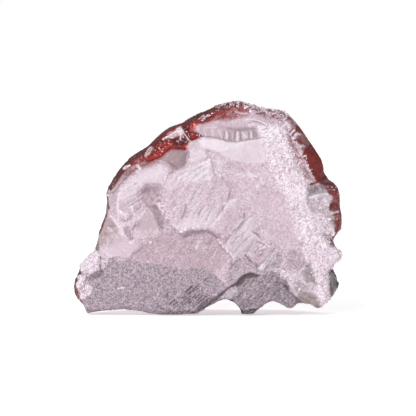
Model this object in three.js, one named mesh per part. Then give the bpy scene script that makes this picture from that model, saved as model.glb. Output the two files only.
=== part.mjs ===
// Red quartz: one broken lump of milky quartz with a red-brown skin, standing on its broken base.
// Millimetres, +Z up. The broken face looks along -Y, the grown skin covers the sides and the back.
import * as THREE from 'three';

// Driving dimensions
const heart = [0, 25];            // x, z of the middle that the outline is drawn around
const waistY = -5;                // depth at which the stone is widest
const backY = 17;                 // furthest point of the back
const crown = 12.5;               // how far the broken face stands in front of y = 0
const sideDrop = 0.0035;          // how fast the broken face falls away sideways, per mm squared
const endDrop = 0.003;            // and towards its top and foot
const crownZ = 22;                // height of its foremost part
const sideShare = 0.4;            // share of the way from the waist to the middle of the back that is side wall
const wear = 12;                  // degrees over which the sides' notches are worn away towards the back
const wornFrom = [-0.75, -0.4];   // sine of the angle round the outline: no such wear below, full wear above
const rimStart = 0.86;            // share of the way to the widest section at which the rim begins to roll
const faceGrain = [0.12, 2.5];    // height and size of the broken face's fine unevenness
const backGrain = [0.5, 6];       // and of the grown faces'
const grainStart = 0.25;          // share of the back's depth over which theirs sets in

// The stone's outline, seen from the front: x, z, from the left foot round over the top
const outline = [
  [-30.5, 0.2], [-31, 1.5], [-31.5, 2.9], [-32.8, 3.8], [-33.5, 5.3], [-33.8, 7], [-33.3, 9], [-32.1, 10.9],
  [-32.3, 11.8], [-31.3, 13.3], [-29.8, 14.8], [-28.3, 15.9], [-28, 18], [-27.4, 19], [-27.6, 20.3],
  [-26.5, 22.3], [-25.1, 26.5], [-25.4, 30.3], [-25, 32], [-24, 33.8], [-22.3, 36.3], [-19.3, 39.8],
  [-15.3, 42], [-13, 44.1], [-10.8, 46.1], [-9, 47.1], [-7, 47.5], [-6, 48.3], [-4.5, 49.4], [-2, 50.6],
  [0.5, 51.5], [2.3, 52.4], [4.5, 53.1], [7.5, 53.6], [9.3, 53.1], [11, 52.4], [13, 51.8], [18, 51.3],
  [19.8, 50.5], [21.3, 49], [23, 47], [27.5, 40.5], [28.8, 38.3], [29.2, 36], [28.9, 34.3], [30, 33.8],
  [31.5, 33], [32.6, 32], [33, 30.5], [33.1, 28.8], [33, 27.3], [33.5, 25.3], [33.5, 21.5], [32.8, 20.5],
  [31.8, 19.8], [31.4, 18.8], [31.4, 17.5], [32, 16.5], [33, 16], [33.8, 15.1], [33.4, 13.9], [32.3, 13],
  [31, 12], [30.8, 11.3], [31.8, 9.5], [32.8, 7.9], [32.4, 6.8], [31.3, 6], [31.3, 4.8], [30.5, 3.8],
  [29.3, 2.5], [27.8, 1.3], [27, 1.6], [25.8, 2.6], [22.5, 2.9], [22, 2], [20.6, 1.3], [18.3, 2.6],
  [17, 3.3], [15.3, 3.3], [14.3, 2.4], [13, 1.3], [11.5, 0.5], [9.8, 0], [8.8, 0.5], [8, 1.6],
  [5.8, 3.6], [4.5, 3.8], [3, 3.5], [1.3, 2.4], [-0.8, 1.3], [-2.3, 0.4], [-7, 0], [-12, 0],
  [-14.5, 0.4], [-19.3, 1.1], [-21, 1.3], [-25.8, 0.8], [-28.3, 0.8], [-29.5, 0.2]
];

// Width of the rolled rim round the broken face: direction in degrees, width in mm
const rimWidths = [
  [-180, 1.2], [-90, 1], [-40, 1.2], [0, 1.6], [30, 2.2], [80, 1.6], [110, 2], [150, 2.2], [180, 1.2]
];

// Ledges, plates and hollows of the broken face, painted one over the other.
// lift: mm in front of the face's own curve. tilt: mm per mm along x and z. edge: width of its step.
// round: the mm over which a lump or bowl reaches its full lift.
const ledges = [
  { // everything right of the long ledge, a step in front of the lower left field
    points: [[-6.3, 20.6], [-5.5, 21.4], [-1.3, 21.9], [2, 20.3], [5.3, 16.3], [5.8, 14.3], [4.5, 8.8], [2.8, 3.5],
      [2.8, -4], [38, -4], [38, 59], [-3, 59], [-3.8, 45.8], [-5, 43.3], [-4.8, 40.3], [-5.8, 37.6], [-9.5, 35.3],
      [-10.4, 31.8], [-11.8, 28], [-11.5, 26.8], [-9.5, 23.8]],
    lift: 1.3, edge: 1
  },
  { // the main plate
    points: [[-8, 36.3], [-5.5, 37.4], [-2, 38.5], [0.3, 39.3], [1.3, 37.8], [2.8, 35.5], [4.5, 34.3], [5.8, 31.8],
      [5, 28.8], [3.8, 25.3], [5, 23.3], [4, 20.8], [2, 20.3], [-1.3, 21.9], [-4.3, 21.7], [-6.3, 20.6], [-8.3, 22],
      [-10.3, 25.3], [-11.5, 26.8], [-11.8, 28], [-11, 29.5], [-10.1, 33.8]],
    lift: 2.5, tilt: [-0.06, -0.02], edge: 0.8
  },
  { // bevel along the main plate's upper edge
    points: [[-8.2, 36.3], [-5.5, 37.5], [0.3, 39.4], [1, 37.6], [-3, 35.6], [-7, 34]],
    lift: 1.9, tilt: [0, -0.35], edge: 0.6
  },
  { // block between the pocket and the brow
    points: [[-5, 43.3], [-4, 43.9], [-2.3, 44.3], [-0.5, 41.3], [0.3, 39.5], [-2, 38.5], [-5.5, 37.4], [-5.5, 38.9],
      [-4.8, 40.3], [-5.3, 41.8]],
    lift: 2.2, tilt: [0.12, 0], edge: 0.6
  },
  { // the brow, a bright shelf under the window
    points: [[-2.3, 44], [-0.8, 44.5], [3.5, 44], [8, 43.6], [14, 44.6], [15.5, 41.3], [15, 38], [10.5, 38],
      [6.8, 38.6], [3.5, 40], [0.5, 41.3], [-1.3, 41.3], [-2, 42.3]],
    lift: 3, tilt: [-0.02, 0.06], edge: 0.6
  },
  { // shallow dish under the brow
    points: [[4.5, 34.3], [5.8, 36.8], [8, 37.6], [13.5, 37.5], [16, 35.8], [17, 32.5], [13.5, 31.3], [6.3, 31.3]],
    lift: 0.3, edge: 1.6
  },
  { // the window: a recess with a ribbed floor
    points: [[-3.8, 46.5], [-2.8, 47.5], [2, 48.5], [8, 48.5], [11, 48], [13.5, 47], [14, 44.6], [9.8, 43.8],
      [4.8, 43.6], [0, 44.4], [-3.3, 45.5]],
    lift: 0.2, edge: 1
  },
  { // its deeper floor
    points: [[3.5, 46], [5, 46.9], [8, 46.1], [12.8, 46.8], [14, 45.8], [14, 44.5], [9.8, 43.8], [4.8, 43.6], [3, 44.1]],
    lift: -1.1, edge: 0.6
  },
  { // the clear red shelf under the skin
    points: [[-15.8, 38.8], [-16.3, 40.3], [-13, 44.1], [-9, 47.1], [-6.8, 47.5], [-4.5, 49.4], [-3.5, 48.3], [-3, 45.3],
      [-2.8, 44.3], [-5, 43.3], [-5.3, 41.5], [-9, 41.5], [-10.5, 40], [-14, 38.5]],
    lift: 0.6, tilt: [-0.05, -0.05], edge: 0.8
  },
  { // shadowed pocket under it
    points: [[-9.3, 41.4], [-7, 41.6], [-5.3, 41.5], [-4.8, 40.3], [-5.8, 37.6], [-8.3, 36.4], [-10.3, 38],
      [-13, 38.4], [-10.5, 40.4]],
    lift: -2, tilt: [-0.2, 0], edge: 0.7
  },
  { // the shoulder that runs round the left hollow
    points: [[-22.5, 24.8], [-23.5, 27.5], [-23.3, 30.3], [-21.8, 33], [-19.5, 35.3], [-16.3, 37.1], [-13, 38.4],
      [-10.3, 38], [-8.3, 36.4], [-9.5, 35.3], [-10.4, 31.8], [-12.5, 33.8], [-14.8, 33.8], [-16.8, 32.8],
      [-19, 29.8], [-21, 24.8]],
    lift: 1.3, edge: 1.4
  },
  { // rough patch on the hollow's left wall
    points: [[-21.5, 31.8], [-19.5, 33.5], [-17.3, 32.8], [-16.8, 30.8], [-16.3, 28], [-17.8, 26.3], [-19.3, 24.3],
      [-21.8, 24]],
    lift: 0.9, tilt: [-0.15, 0], edge: 0.8
  },
  { // the left hollow
    points: [[-17, 32.5], [-15, 33.6], [-12.5, 33.6], [-10.9, 32.3], [-11.9, 28], [-10.8, 24], [-11.3, 21.8],
      [-14.5, 21.4], [-20.3, 22.3], [-20.3, 24], [-16.8, 28]],
    lift: -1.7, tilt: [0.05, -0.05], edge: 1
  },
  { // left face of the pyramid in the hollow
    points: [[-15.5, 27.3], [-11.5, 21.8], [-18.8, 21.5], [-17.3, 24.5]],
    lift: -0.4, tilt: [0.14, -0.1], edge: 0.5
  },
  { // its shaded right face
    points: [[-15.5, 27.3], [-14.3, 27.8], [-12.5, 26.8], [-11, 24.4], [-11.5, 21.8]],
    lift: -1.1, tilt: [-0.3, 0], edge: 0.4
  },
  { // sliver of shade under the hollow's lip
    points: [[-20.8, 22.3], [-19.5, 22], [-18.5, 20.3], [-18.5, 19], [-19.5, 18.9], [-20.5, 20.3]],
    lift: -1.4, edge: 0.5
  },
  { // smooth pink facet, lower left
    points: [[-25.3, 14.8], [-26.8, 16.3], [-26, 18], [-24.8, 19.8], [-23.5, 20.8], [-22, 20.8], [-19.3, 18.5],
      [-16.3, 18], [-17, 16.5], [-18.8, 15.5], [-19.3, 14.3]],
    lift: 0.9, tilt: [0.1, -0.12], edge: 0.6
  },
  { // white lump on the left end
    points: [[-31.8, 11.3], [-31, 13.3], [-28, 15.8], [-26, 14.8], [-24.5, 13.3], [-25.3, 11.3], [-27.5, 11.4],
      [-29, 10.4]],
    lift: 2, edge: 0.6, round: 1.6
  },
  { // grey hole below it
    points: [[-30.3, 9.4], [-29, 10.4], [-27.5, 11.4], [-26, 10.9], [-26.5, 9.9], [-29.5, 8.4]],
    lift: -1.5, edge: 0.6
  },
  { // small lump on the left rim
    points: [[-33.3, 8], [-32.3, 10], [-31, 10.5], [-30.3, 9.3], [-31, 7.5], [-32.3, 6.5]],
    lift: 1.2, edge: 0.6, round: 1.2
  },
  { // lobe under the main plate's right edge
    points: [[4.5, 28.5], [6.8, 28.8], [8.8, 27], [9.3, 24.8], [8.3, 23], [6, 20.8], [4, 18.8], [3, 19.8],
      [4.5, 22.3], [3.8, 25.3]],
    lift: 1.9, tilt: [-0.1, 0], edge: 0.8
  },
  { // grey plate over the dark step
    points: [[5.5, 12], [6.5, 13.3], [9.3, 15.5], [11.3, 13.3], [12.5, 11.8], [12, 10.8], [9, 10.3], [7, 8.8],
      [5.8, 7.5]],
    lift: 1.9, tilt: [0, -0.1], edge: 0.6
  },
  { // foot block below it
    points: [[3, 3.5], [4, 5], [5.8, 6.5], [8, 7.6], [11.8, 9.5], [16.8, 11.5], [18.8, 10.8], [18.8, 8.5],
      [20.5, 6.5], [22.3, 4.3], [22.8, 2.3], [20.5, -1], [12.5, -2], [7.5, -1]],
    lift: 0.9, tilt: [0, 0.08], edge: 0.8
  },
  { // dark step between them
    points: [[5.8, 7.1], [7, 8.8], [8.8, 10.1], [10.5, 10.9], [13.3, 10.3], [11.8, 9.5], [9.8, 8.5], [6.5, 6.8]],
    lift: -1.4, edge: 0.5
  },
  { // hatched facet
    points: [[12, 11.8], [12.5, 13.8], [14.8, 16.8], [16.3, 17.8], [18.5, 16.3], [18.3, 14], [17.5, 12], [15.5, 11]],
    lift: 2, tilt: [-0.15, 0.05], edge: 0.6
  },
  { // rounded white lobe
    points: [[19.3, 15.8], [21, 16.6], [23, 16.5], [24, 14.3], [23.5, 12.3], [21.8, 11.3], [19.8, 11.8], [18.8, 13.5]],
    lift: 2.2, edge: 0.6, round: 1.8
  },
  { // clear grey pocket
    points: [[23.8, 12.8], [25, 13.8], [26, 12.5], [27.5, 8], [26, 7.5], [24.3, 7.8], [23.5, 9.8]],
    lift: 0.1, edge: 0.6
  },
  { // facets at the right foot
    points: [[21, 6], [23, 5.8], [25.3, 6], [27.3, 5.3], [28.3, 3], [27.5, -1], [22, -1], [22, 4.3]],
    lift: 0.8, tilt: [-0.1, 0.35], edge: 0.6
  },
  { // white sugary band from the brow down to the right foot
    points: [[13.5, 43.8], [13.5, 46.8], [15.3, 48.3], [18, 48.3], [19.8, 45], [22.5, 37.5], [25, 31.3], [24.5, 27.5],
      [26, 25], [28.5, 22.5], [28.5, 20], [30.8, 18.8], [31.5, 16.8], [35.5, 16.3], [35, 12.8], [30.8, 11.5],
      [29.9, 8.8], [30.1, 5.8], [30.8, 3.3], [28, 0.3], [27.3, 3.8], [26.5, 9.3], [25.3, 12.5], [23.5, 15.8],
      [21.3, 19.8], [20, 23.3], [19, 27.5], [17.3, 31.3], [16, 35.8], [14.5, 39.3]],
    lift: 2.1, edge: 1.2
  },
  { // dark recess above the right lobe
    points: [[25.3, 32], [26.5, 32.8], [28.5, 33], [30.5, 31.8], [31.3, 30.3], [28.8, 30.3], [25.3, 29.8]],
    lift: -0.9, edge: 0.6
  },
  { // smooth bay in the right lobe
    points: [[25.3, 29.5], [28.8, 29.9], [30, 28.8], [30.8, 27.3], [29.5, 26], [27, 26], [25.3, 27.3]],
    lift: 0.2, edge: 0.8
  },
  { // red-brown grown face, leaning back to the right
    points: [[22.3, 50], [21, 44.3], [22.3, 42], [25.3, 36.5], [26.5, 34.3], [25.8, 32.8], [27.5, 33.1], [31, 33.5],
      [36, 38], [30, 50]],
    lift: -1, tilt: [-0.75, -0.1], edge: 1.2
  },
  { // grey crystal standing behind the right foot
    points: [[30, 11.8], [30.8, 11.4], [34.3, 9.5], [34.3, 5.8], [31.5, 3.5], [30.3, 4.5], [30, 7.5]],
    lift: -6, tilt: [-0.3, 0], edge: 0.4
  }
];

// Grown faces that bound the sides and the back: direction round the outline in degrees, lean towards the
// back in degrees, and how many mm behind the widest section each leaves the outline
const grownFaces = [
  [142, 16, 0], [100, 22, 1], [62, 26, 0], [28, 18, 1], [-2, 30, 3], [180, 24, 3], [208, 34, 5], [-28, 36, 5],
  [122, 50, 9], [50, 54, 10], [186, 62, 13], [-14, 58, 12], [150, 74, 18], [20, 78, 20], [-90, 70, 19]
];

// Old chips on the back edges: centre and radius of the bowl that each leaves
const chips = [
  [[-30, 16, 44], 13], [[34, 18, 40], 15], [[-36, 14, 10], 14], [[8, 30, 52], 16], [[34, 20, 8], 13]
];

// Flat worn patches that the stone stands on: centre and half size, x and y
const feet = [
  [[-8.5, 4], [5.5, 8]], [[10, 5], [1.6, 9]]
];

const footRise = 1.6;             // what lies lower than this is worn flat
const footTop = 4;                // nothing above this is moved
const footFade = 1.3;             // share of a patch's half size at which its wear has ended

// Sugary crystals fused to the white band and the lumps: strips that they grow along
const crusts = [
  { from: [16, 46], to: [20.5, 30], spread: 2.2, count: 16 },
  { from: [20.5, 30], to: [27, 12], spread: 2.6, count: 18 },
  { from: [28, 24], to: [29.5, 5], spread: 2, count: 13 },
  { from: [-30.5, 12], to: [-26, 13.8], spread: 1, count: 5 },
  { from: [-32, 9], to: [-31, 4.5], spread: 0.8, count: 4 }
];
const crystalReach = [0.9, 1.5];  // smallest and largest radius of a crystal point
const crystalRise = 0.9;          // its height for each mm of radius
const crystalBound = 1.2;         // nothing of it lies further out than this share of its radius

// Triangle sizes
const frontStep = [0.88, 2.8];    // shortest edge that is still split, longest edge left
const backStep = [1.8, 4.6];
const frontTolerance = 0.2;       // how far an edge may lie from the true surface
const backTolerance = 0.42;
const mostTriangles = 12000;      // refining ends once the stone has this many
const frontLimit = 0.05;          // an edge whose two ends' y add up to less than this counts as front
const nameSpan = 100000;          // more corners than the stone can have

const radians = Math.PI / 180;

function mix(a, b, t) {
  return a + (b - a) * t;
}

function smooth(low, high, value) {
  const t = Math.min(Math.max((value - low) / (high - low), 0), 1);
  return t * t * (3 - 2 * t);
}

function seeded(seed) {
  let state = seed;
  return () => {
    state = (Math.imul(state, 1664525) + 1013904223) >>> 0;
    return state / 4294967296;
  };
}

function lattice(i, j, k) {
  let h = Math.imul(i, 374761393) ^ Math.imul(j, 668265263) ^ Math.imul(k, 1442695041);
  h = Math.imul(h ^ (h >>> 13), 1274126177);
  return ((h ^ (h >>> 16)) >>> 0) / 2147483648 - 1;
}

// Smooth noise from -1 to 1 with a grain of the given size
function noise(x, y, z, size) {
  const [i, j, k] = [x / size, y / size, z / size].map(Math.floor);
  const [u, v, w] = [x / size - i, y / size - j, z / size - k].map((t) => t * t * (3 - 2 * t));
  const row = (b, c) => mix(lattice(i, j + b, k + c), lattice(i + 1, j + b, k + c), u);
  return mix(mix(row(0, 0), row(1, 0), v), mix(row(0, 1), row(1, 1), v), w);
}

// Distance inside a closed outline, negative outside it
function depthInside(points, x, z) {
  let nearest = Infinity;
  let inside = false;
  points.forEach(([x1, z1], n) => {
    const [x2, z2] = points[(n + 1) % points.length];
    const [ex, ez] = [x2 - x1, z2 - z1];
    const t = Math.min(Math.max(((x - x1) * ex + (z - z1) * ez) / (ex * ex + ez * ez), 0), 1);
    nearest = Math.min(nearest, Math.hypot(x - x1 - ex * t, z - z1 - ez * t));
    if ((z1 > z) !== (z2 > z) && x < x1 + (z - z1) / (z2 - z1) * ex) {
      inside = !inside;
    }
  });
  return inside ? nearest : -nearest;
}

// Distance from the heart to the outline in one direction
function reach(angle) {
  const [dx, dz] = [Math.cos(angle), Math.sin(angle)];
  let best = 0;
  outline.forEach(([x1, z1], n) => {
    const [x2, z2] = outline[(n + 1) % outline.length];
    const [ax, az] = [x1 - heart[0], z1 - heart[1]];
    const [ex, ez] = [x2 - x1, z2 - z1];
    const across = dx * ez - dz * ex;
    const along = (ax * ez - az * ex) / across;
    const share = (ax * dz - az * dx) / across;
    if (share >= 0 && share <= 1 && along > best) {
      best = along;
    }
  });
  return best;
}

function widthAt(angle) {
  const degrees = angle / radians;
  const n = rimWidths.findIndex(([a]) => a > degrees);
  const [a1, w1] = rimWidths[Math.max(n - 1, 0)];
  const [a2, w2] = rimWidths[n < 0 ? rimWidths.length - 1 : n];
  return mix(w1, w2, a2 > a1 ? (degrees - a1) / (a2 - a1) : 0);
}

function crystalPoints() {
  const random = seeded(7);
  return crusts.flatMap(({ from, to, spread, count }) => Array.from({ length: count }, () => {
    const t = random();
    return {
      x: mix(from[0], to[0], t) + spread * (2 * random() - 1),
      z: mix(from[1], to[1], t) + spread * (2 * random() - 1),
      size: mix(crystalReach[0], crystalReach[1], random()),
      turn: random() * Math.PI
    };
  }));
}

const crystals = crystalPoints();

// Height of the crystal points over the crust: six-sided pyramids
function crystalHeight(x, z) {
  let height = 0;
  crystals.forEach((c) => {
    const [dx, dz] = [x - c.x, z - c.z];
    const away = Math.hypot(dx, dz);
    if (away < c.size * crystalBound) {
      const sector = (Math.atan2(dz, dx) + c.turn + 2 * Math.PI) % (Math.PI / 3) - Math.PI / 6;
      height = Math.max(height, crystalRise * (c.size - away * Math.cos(sector)));
    }
  });
  return height;
}

// How far the broken face stands in front of y = 0 at a place on it
function face(x, z) {
  const curve = crown - sideDrop * x * x - endDrop * (z - crownZ) ** 2;
  let height = curve;
  ledges.filter(({ bounds }) => bounds.containsPoint({ x, y: z })).forEach((ledge) => {
    const depth = depthInside(ledge.points, x, z);
    if (depth > -ledge.edge) {
      const [cx, cz] = ledge.middle;
      const [tx, tz] = ledge.tilt ?? [0, 0];
      const bulge = ledge.round ? Math.sqrt(1 - (1 - Math.min(Math.max(depth / ledge.round, 0), 1)) ** 2) : 1;
      const level = curve + ledge.lift * bulge + tx * (x - cx) + tz * (z - cz);
      height = mix(height, level, smooth(-ledge.edge / 2, ledge.edge / 2, depth));
    }
  });
  return height + crystalHeight(x, z) + faceGrain[0] * noise(x, 3, z, faceGrain[1]);
}

ledges.forEach((ledge) => {
  ledge.middle = [0, 1].map((n) => ledge.points.reduce((sum, p) => sum + p[n], 0) / ledge.points.length);
  ledge.bounds = new THREE.Box2().setFromPoints(ledge.points.map(([x, z]) => new THREE.Vector2(x, z)));
  ledge.bounds.expandByScalar(ledge.edge);
});

// Planes of the grown faces: normal and distance
const planes = grownFaces.map(([around, lean, setback]) => {
  const [a, l] = [around * radians, lean * radians];
  const normal = new THREE.Vector3(Math.cos(l) * Math.cos(a), Math.sin(l), Math.cos(l) * Math.sin(a));
  const support = Math.max(...outline.map(([x, z]) => normal.x * x + normal.z * z));
  return { normal, distance: support + normal.y * (waistY + setback) };
});

// Where a direction on the unit sphere lands on the stone
function place(d) {
  const out = Math.hypot(d.x, d.z);
  const angle = Math.atan2(d.z, d.x);
  const [dx, dz] = out > 1e-6 ? [d.x / out, d.z / out] : [1, 0];
  const polar = Math.atan2(out, Math.abs(d.y)) / (Math.PI / 2);
  const full = reach(angle);
  const p = new THREE.Vector3();
  if (d.y <= 0) {
    const rim = widthAt(angle);
    const turn = Math.max((polar - rimStart) / (1 - rimStart), 0) * Math.PI / 2;
    const away = turn > 0 ? full - rim * (1 - Math.sin(turn)) : polar / rimStart * (full - rim);
    const [x, z] = [heart[0] + away * dx, heart[1] + away * dz];
    p.set(x, mix(waistY, -face(x, z), Math.cos(turn)), z);
    return stand(p);
  }
  const share = 1 - polar;
  const up = smooth(...wornFrom, dz);
  const broad = [-1, -0.5, 0, 0.5, 1].reduce((sum, n) => sum + reach(angle + n * wear * radians) / 5, 0);
  const wall = mix(full, broad, up * smooth(0, sideShare, share));
  const away = wall * Math.min((1 - share) / (1 - sideShare), 1);
  const depth = Math.min(share / sideShare, 1);
  p.set(heart[0] + away * dx, mix(waistY, backY, depth), heart[1] + away * dz);
  return trimBack(p, depth);
}

// Cuts the back of the stone to its grown faces, chips and worn feet
function trimBack(p, depth) {
  for (let pass = 0; pass < 3; pass += 1) {
    planes.forEach(({ normal, distance }) => {
      const over = p.dot(normal) - distance;
      if (over > 0) {
        p.addScaledVector(normal, -over);
      }
    });
  }
  chips.forEach(([centre, radius]) => {
    const middle = new THREE.Vector3(...centre);
    if (p.distanceTo(middle) < radius) {
      p.sub(middle).setLength(radius).add(middle);
    }
  });
  const rough = backGrain[0] * Math.min(depth / grainStart, 1);
  p.x += rough * noise(p.x, p.y, p.z, backGrain[1]);
  p.z += rough * noise(p.x + 40, p.y, p.z, backGrain[1]);
  return stand(p);
}

// Wears the underside flat where the stone stands
function stand(p) {
  feet.forEach(([[cx, cy], [hx, hy]]) => {
    const share = Math.max(Math.abs(p.x - cx) / hx, Math.abs(p.y - cy) / hy);
    if (p.z < footTop) {
      const level = Math.max(p.z - footRise, 0) * footTop / (footTop - footRise);
      p.z = mix(level, p.z, smooth(1, footFade, share));
    }
  });
  p.z = Math.max(p.z, 0);
  return p;
}

// A coarse closed mesh on the unit sphere, refined where the stone needs it
function grow() {
  const start = new THREE.OctahedronGeometry(1, 5);
  const found = new Map();
  const params = [];
  const flat = start.getAttribute('position');
  const triangles = [];
  for (let n = 0; n < flat.count; n += 3) {
    triangles.push([0, 1, 2].map((k) => {
      const d = new THREE.Vector3().fromBufferAttribute(flat, n + k).normalize();
      const key = [d.x, d.y, d.z].map((v) => Math.round(v * 1e5)).join();
      if (!found.has(key)) {
        found.set(key, params.push(d) - 1);
      }
      return found.get(key);
    }));
  }
  const points = params.map(place);
  let list = triangles;
  let again = true;
  while (again && list.length < mostTriangles) {
    [list, again] = refine(list, params, points);
  }
  return [list, points];
}

const edgeName = (a, b) => (a < b ? a * nameSpan + b : b * nameSpan + a);

function refine(list, params, points) {
  const marked = new Map();
  const tested = new Set();
  const mark = (a, b) => {
    const middle = params[a].clone().add(params[b]).normalize();
    const landed = place(middle);
    marked.set(edgeName(a, b), params.length);
    params.push(middle);
    points.push(landed);
  };
  const needed = (a, b) => {
    const length = points[a].distanceTo(points[b]);
    const front = params[a].y + params[b].y < frontLimit;
    const [low, high] = front ? frontStep : backStep;
    if (length < 2 * low || length > high) {
      return length > high;
    }
    const landed = place(params[a].clone().add(params[b]).normalize());
    const straight = points[a].clone().add(points[b]).multiplyScalar(0.5);
    return landed.distanceTo(straight) > (front ? frontTolerance : backTolerance);
  };
  list.forEach((t) => t.forEach((a, n) => {
    const b = t[(n + 1) % 3];
    const name = edgeName(a, b);
    if (!tested.has(name)) {
      tested.add(name);
      if (needed(a, b)) {
        mark(a, b);
      }
    }
  }));
  const any = marked.size > 0;
  for (let settled = false; !settled;) {
    settled = true;
    list.forEach((t) => {
      const sides = t.map((a, n) => [a, t[(n + 1) % 3]]);
      if (sides.some(([a, b]) => marked.has(edgeName(a, b)))) {
        const long = sides.reduce((p, q) => (span(q, points) > span(p, points) ? q : p));
        if (!marked.has(edgeName(...long))) {
          mark(...long);
          settled = false;
        }
      }
    });
  }
  return [list.flatMap((t) => split(t, marked, points)), any];
}

function span([a, b], points) {
  return points[a].distanceTo(points[b]);
}

// Splits one triangle at its marked edges, always across its longest edge first
function split(t, marked, points) {
  const sides = [0, 1, 2].map((n) => [t[n], t[(n + 1) % 3]]);
  const cut = sides.filter(([a, b]) => marked.has(edgeName(a, b)));
  if (cut.length === 0) {
    return [t];
  }
  const n = [0, 1, 2].reduce((p, q) => (span(sides[q], points) > span(sides[p], points) ? q : p));
  const [a, b, c] = [t[n], t[(n + 1) % 3], t[(n + 2) % 3]];
  const m = marked.get(edgeName(a, b));
  const right = marked.get(edgeName(b, c));
  const left = marked.get(edgeName(c, a));
  const first = right === undefined ? [[m, b, c]] : [[m, b, right], [m, right, c]];
  const second = left === undefined ? [[a, m, c]] : [[a, m, left], [m, c, left]];
  return [...first, ...second];
}

function redQuartz() {
  const [list, points] = grow();
  const box = new THREE.Box3().setFromPoints(points);
  const middle = box.getCenter(new THREE.Vector3());
  const corners = points.flatMap((p) => [p.x - middle.x, p.y - middle.y, p.z - box.min.z]);
  const geometry = new THREE.BufferGeometry();
  geometry.setAttribute('position', new THREE.Float32BufferAttribute(corners, 3));
  geometry.setIndex(list.flat());
  geometry.computeVertexNormals();
  const material = new THREE.MeshStandardMaterial({ color: 0xdcc9d3, roughness: 0.45, metalness: 0 });
  const mesh = new THREE.Mesh(geometry, material);
  mesh.name = 'red_quartz';
  return mesh;
}

const stone = new THREE.Group();
stone.add(redQuartz());

export default stone;
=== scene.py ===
import math
from itertools import product

import bpy
import numpy as np
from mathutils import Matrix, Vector, kdtree


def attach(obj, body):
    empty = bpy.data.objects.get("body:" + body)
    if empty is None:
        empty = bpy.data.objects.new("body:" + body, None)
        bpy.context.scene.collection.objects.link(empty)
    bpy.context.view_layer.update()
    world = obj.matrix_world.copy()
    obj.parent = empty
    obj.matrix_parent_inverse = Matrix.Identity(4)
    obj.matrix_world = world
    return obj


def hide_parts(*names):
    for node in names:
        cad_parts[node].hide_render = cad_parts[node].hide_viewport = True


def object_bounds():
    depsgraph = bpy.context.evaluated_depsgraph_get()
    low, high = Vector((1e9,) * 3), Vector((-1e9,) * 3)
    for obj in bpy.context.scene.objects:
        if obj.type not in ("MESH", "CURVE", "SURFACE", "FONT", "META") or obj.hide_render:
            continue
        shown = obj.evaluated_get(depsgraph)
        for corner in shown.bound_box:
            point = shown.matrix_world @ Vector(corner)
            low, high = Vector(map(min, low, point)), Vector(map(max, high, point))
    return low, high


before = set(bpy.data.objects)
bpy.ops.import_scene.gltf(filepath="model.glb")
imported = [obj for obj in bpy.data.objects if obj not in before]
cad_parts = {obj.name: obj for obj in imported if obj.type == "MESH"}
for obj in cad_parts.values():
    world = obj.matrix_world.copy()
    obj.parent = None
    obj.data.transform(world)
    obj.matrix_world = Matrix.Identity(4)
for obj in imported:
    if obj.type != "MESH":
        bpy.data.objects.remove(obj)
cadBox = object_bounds()
mm = 0.001
step = 0.25  # mm; the points below count quarter millimetres right of and above the middle of the foot
noise = {
    "scramble": (374761393, 668265263, 1442695041, 974634777, 1274126177),
    "layerSeed": 17, "layerFade": 1.8,  # of each finer layer of rough noise
    "jitter": 0.42, "height": 0.45, "fall": 0.5, "tiltSeed": 5, "heightSeed": 9,  # of a crust's faces
}


def lattice(i, j, k, seed):  # -1 to 1, as if at random, and always the same for one cell
    a, b, c, d, e = noise["scramble"]
    mixed = (i * a + j * b + k * c + seed * d) & 0xFFFFFFFF
    mixed = ((mixed ^ (mixed >> 13)) * e) & 0xFFFFFFFF
    return (mixed ^ (mixed >> 16)) / 2147483648.0 - 1.0


def softNoise(points, size, seed=0):  # smooth swells, about as wide as the size
    scaled = points / size
    cell = np.floor(scaled).astype(np.int64)
    t = scaled - cell
    t = t * t * (3 - 2 * t)
    total = np.zeros(len(points))
    for a, b, c in product((0, 1), repeat=3):
        weight = (t[:, 0] if a else 1 - t[:, 0]) * (t[:, 1] if b else 1 - t[:, 1])
        weight = weight * (t[:, 2] if c else 1 - t[:, 2])
        total += weight * lattice(cell[:, 0] + a, cell[:, 1] + b, cell[:, 2] + c, seed)
    return total


def roughNoise(points, size, seed=0, layers=3):
    shift, fade = noise["layerSeed"], noise["layerFade"]
    return sum(softNoise(points, size / 2 ** n, seed + shift * n) / fade ** n for n in range(layers))


def facets(points, size, seed=0, lean=0.8):  # height of a crust of small tilted crystal faces
    scaled = points / size
    cell = np.floor(scaled).astype(np.int64)
    nearest = np.full(len(points), np.inf)
    height = np.zeros(len(points))
    for move in product((-1, 0, 1), repeat=3):
        near = [cell[:, s] + move[s] for s in range(3)]
        spot = [n + 0.5 + noise["jitter"] * lattice(*near, seed + s) for s, n in enumerate(near)]
        off = [scaled[:, s] - spot[s] for s in range(3)]
        away = np.sqrt(off[0] ** 2 + off[1] ** 2 + off[2] ** 2)
        tilt = [lattice(*near, seed + noise["tiltSeed"] + s) * lean for s in range(3)]
        level = noise["height"] * lattice(*near, seed + noise["heightSeed"])
        level = level + sum(o * t for o, t in zip(off, tilt)) - noise["fall"] * away
        closer = away < nearest
        nearest = np.where(closer, away, nearest)
        height = np.where(closer, level, height)
    return height


def ramp(low, high, value):  # 0 at low, 1 at high, smooth between
    t = np.clip((value - low) / (high - low), 0, 1)
    return t * t * (3 - 2 * t)


def nearSegments(corners, x, z):  # mm to the nearest segment, and whether each point is inside the outline
    nearest = np.full(len(x), np.inf)
    inside = np.zeros(len(x), bool)
    for (x1, z1), (x2, z2) in zip(corners, corners[1:]):
        ex, ez = x2 - x1, z2 - z1
        t = np.clip(((x - x1) * ex + (z - z1) * ez) / (ex * ex + ez * ez), 0, 1)
        nearest = np.minimum(nearest, np.hypot(x - x1 - ex * t, z - z1 - ez * t))
        if z1 != z2:
            inside ^= ((z1 > z) != (z2 > z)) & (x < x1 + (z - z1) / (z2 - z1) * ex)
    return nearest, inside


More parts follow.
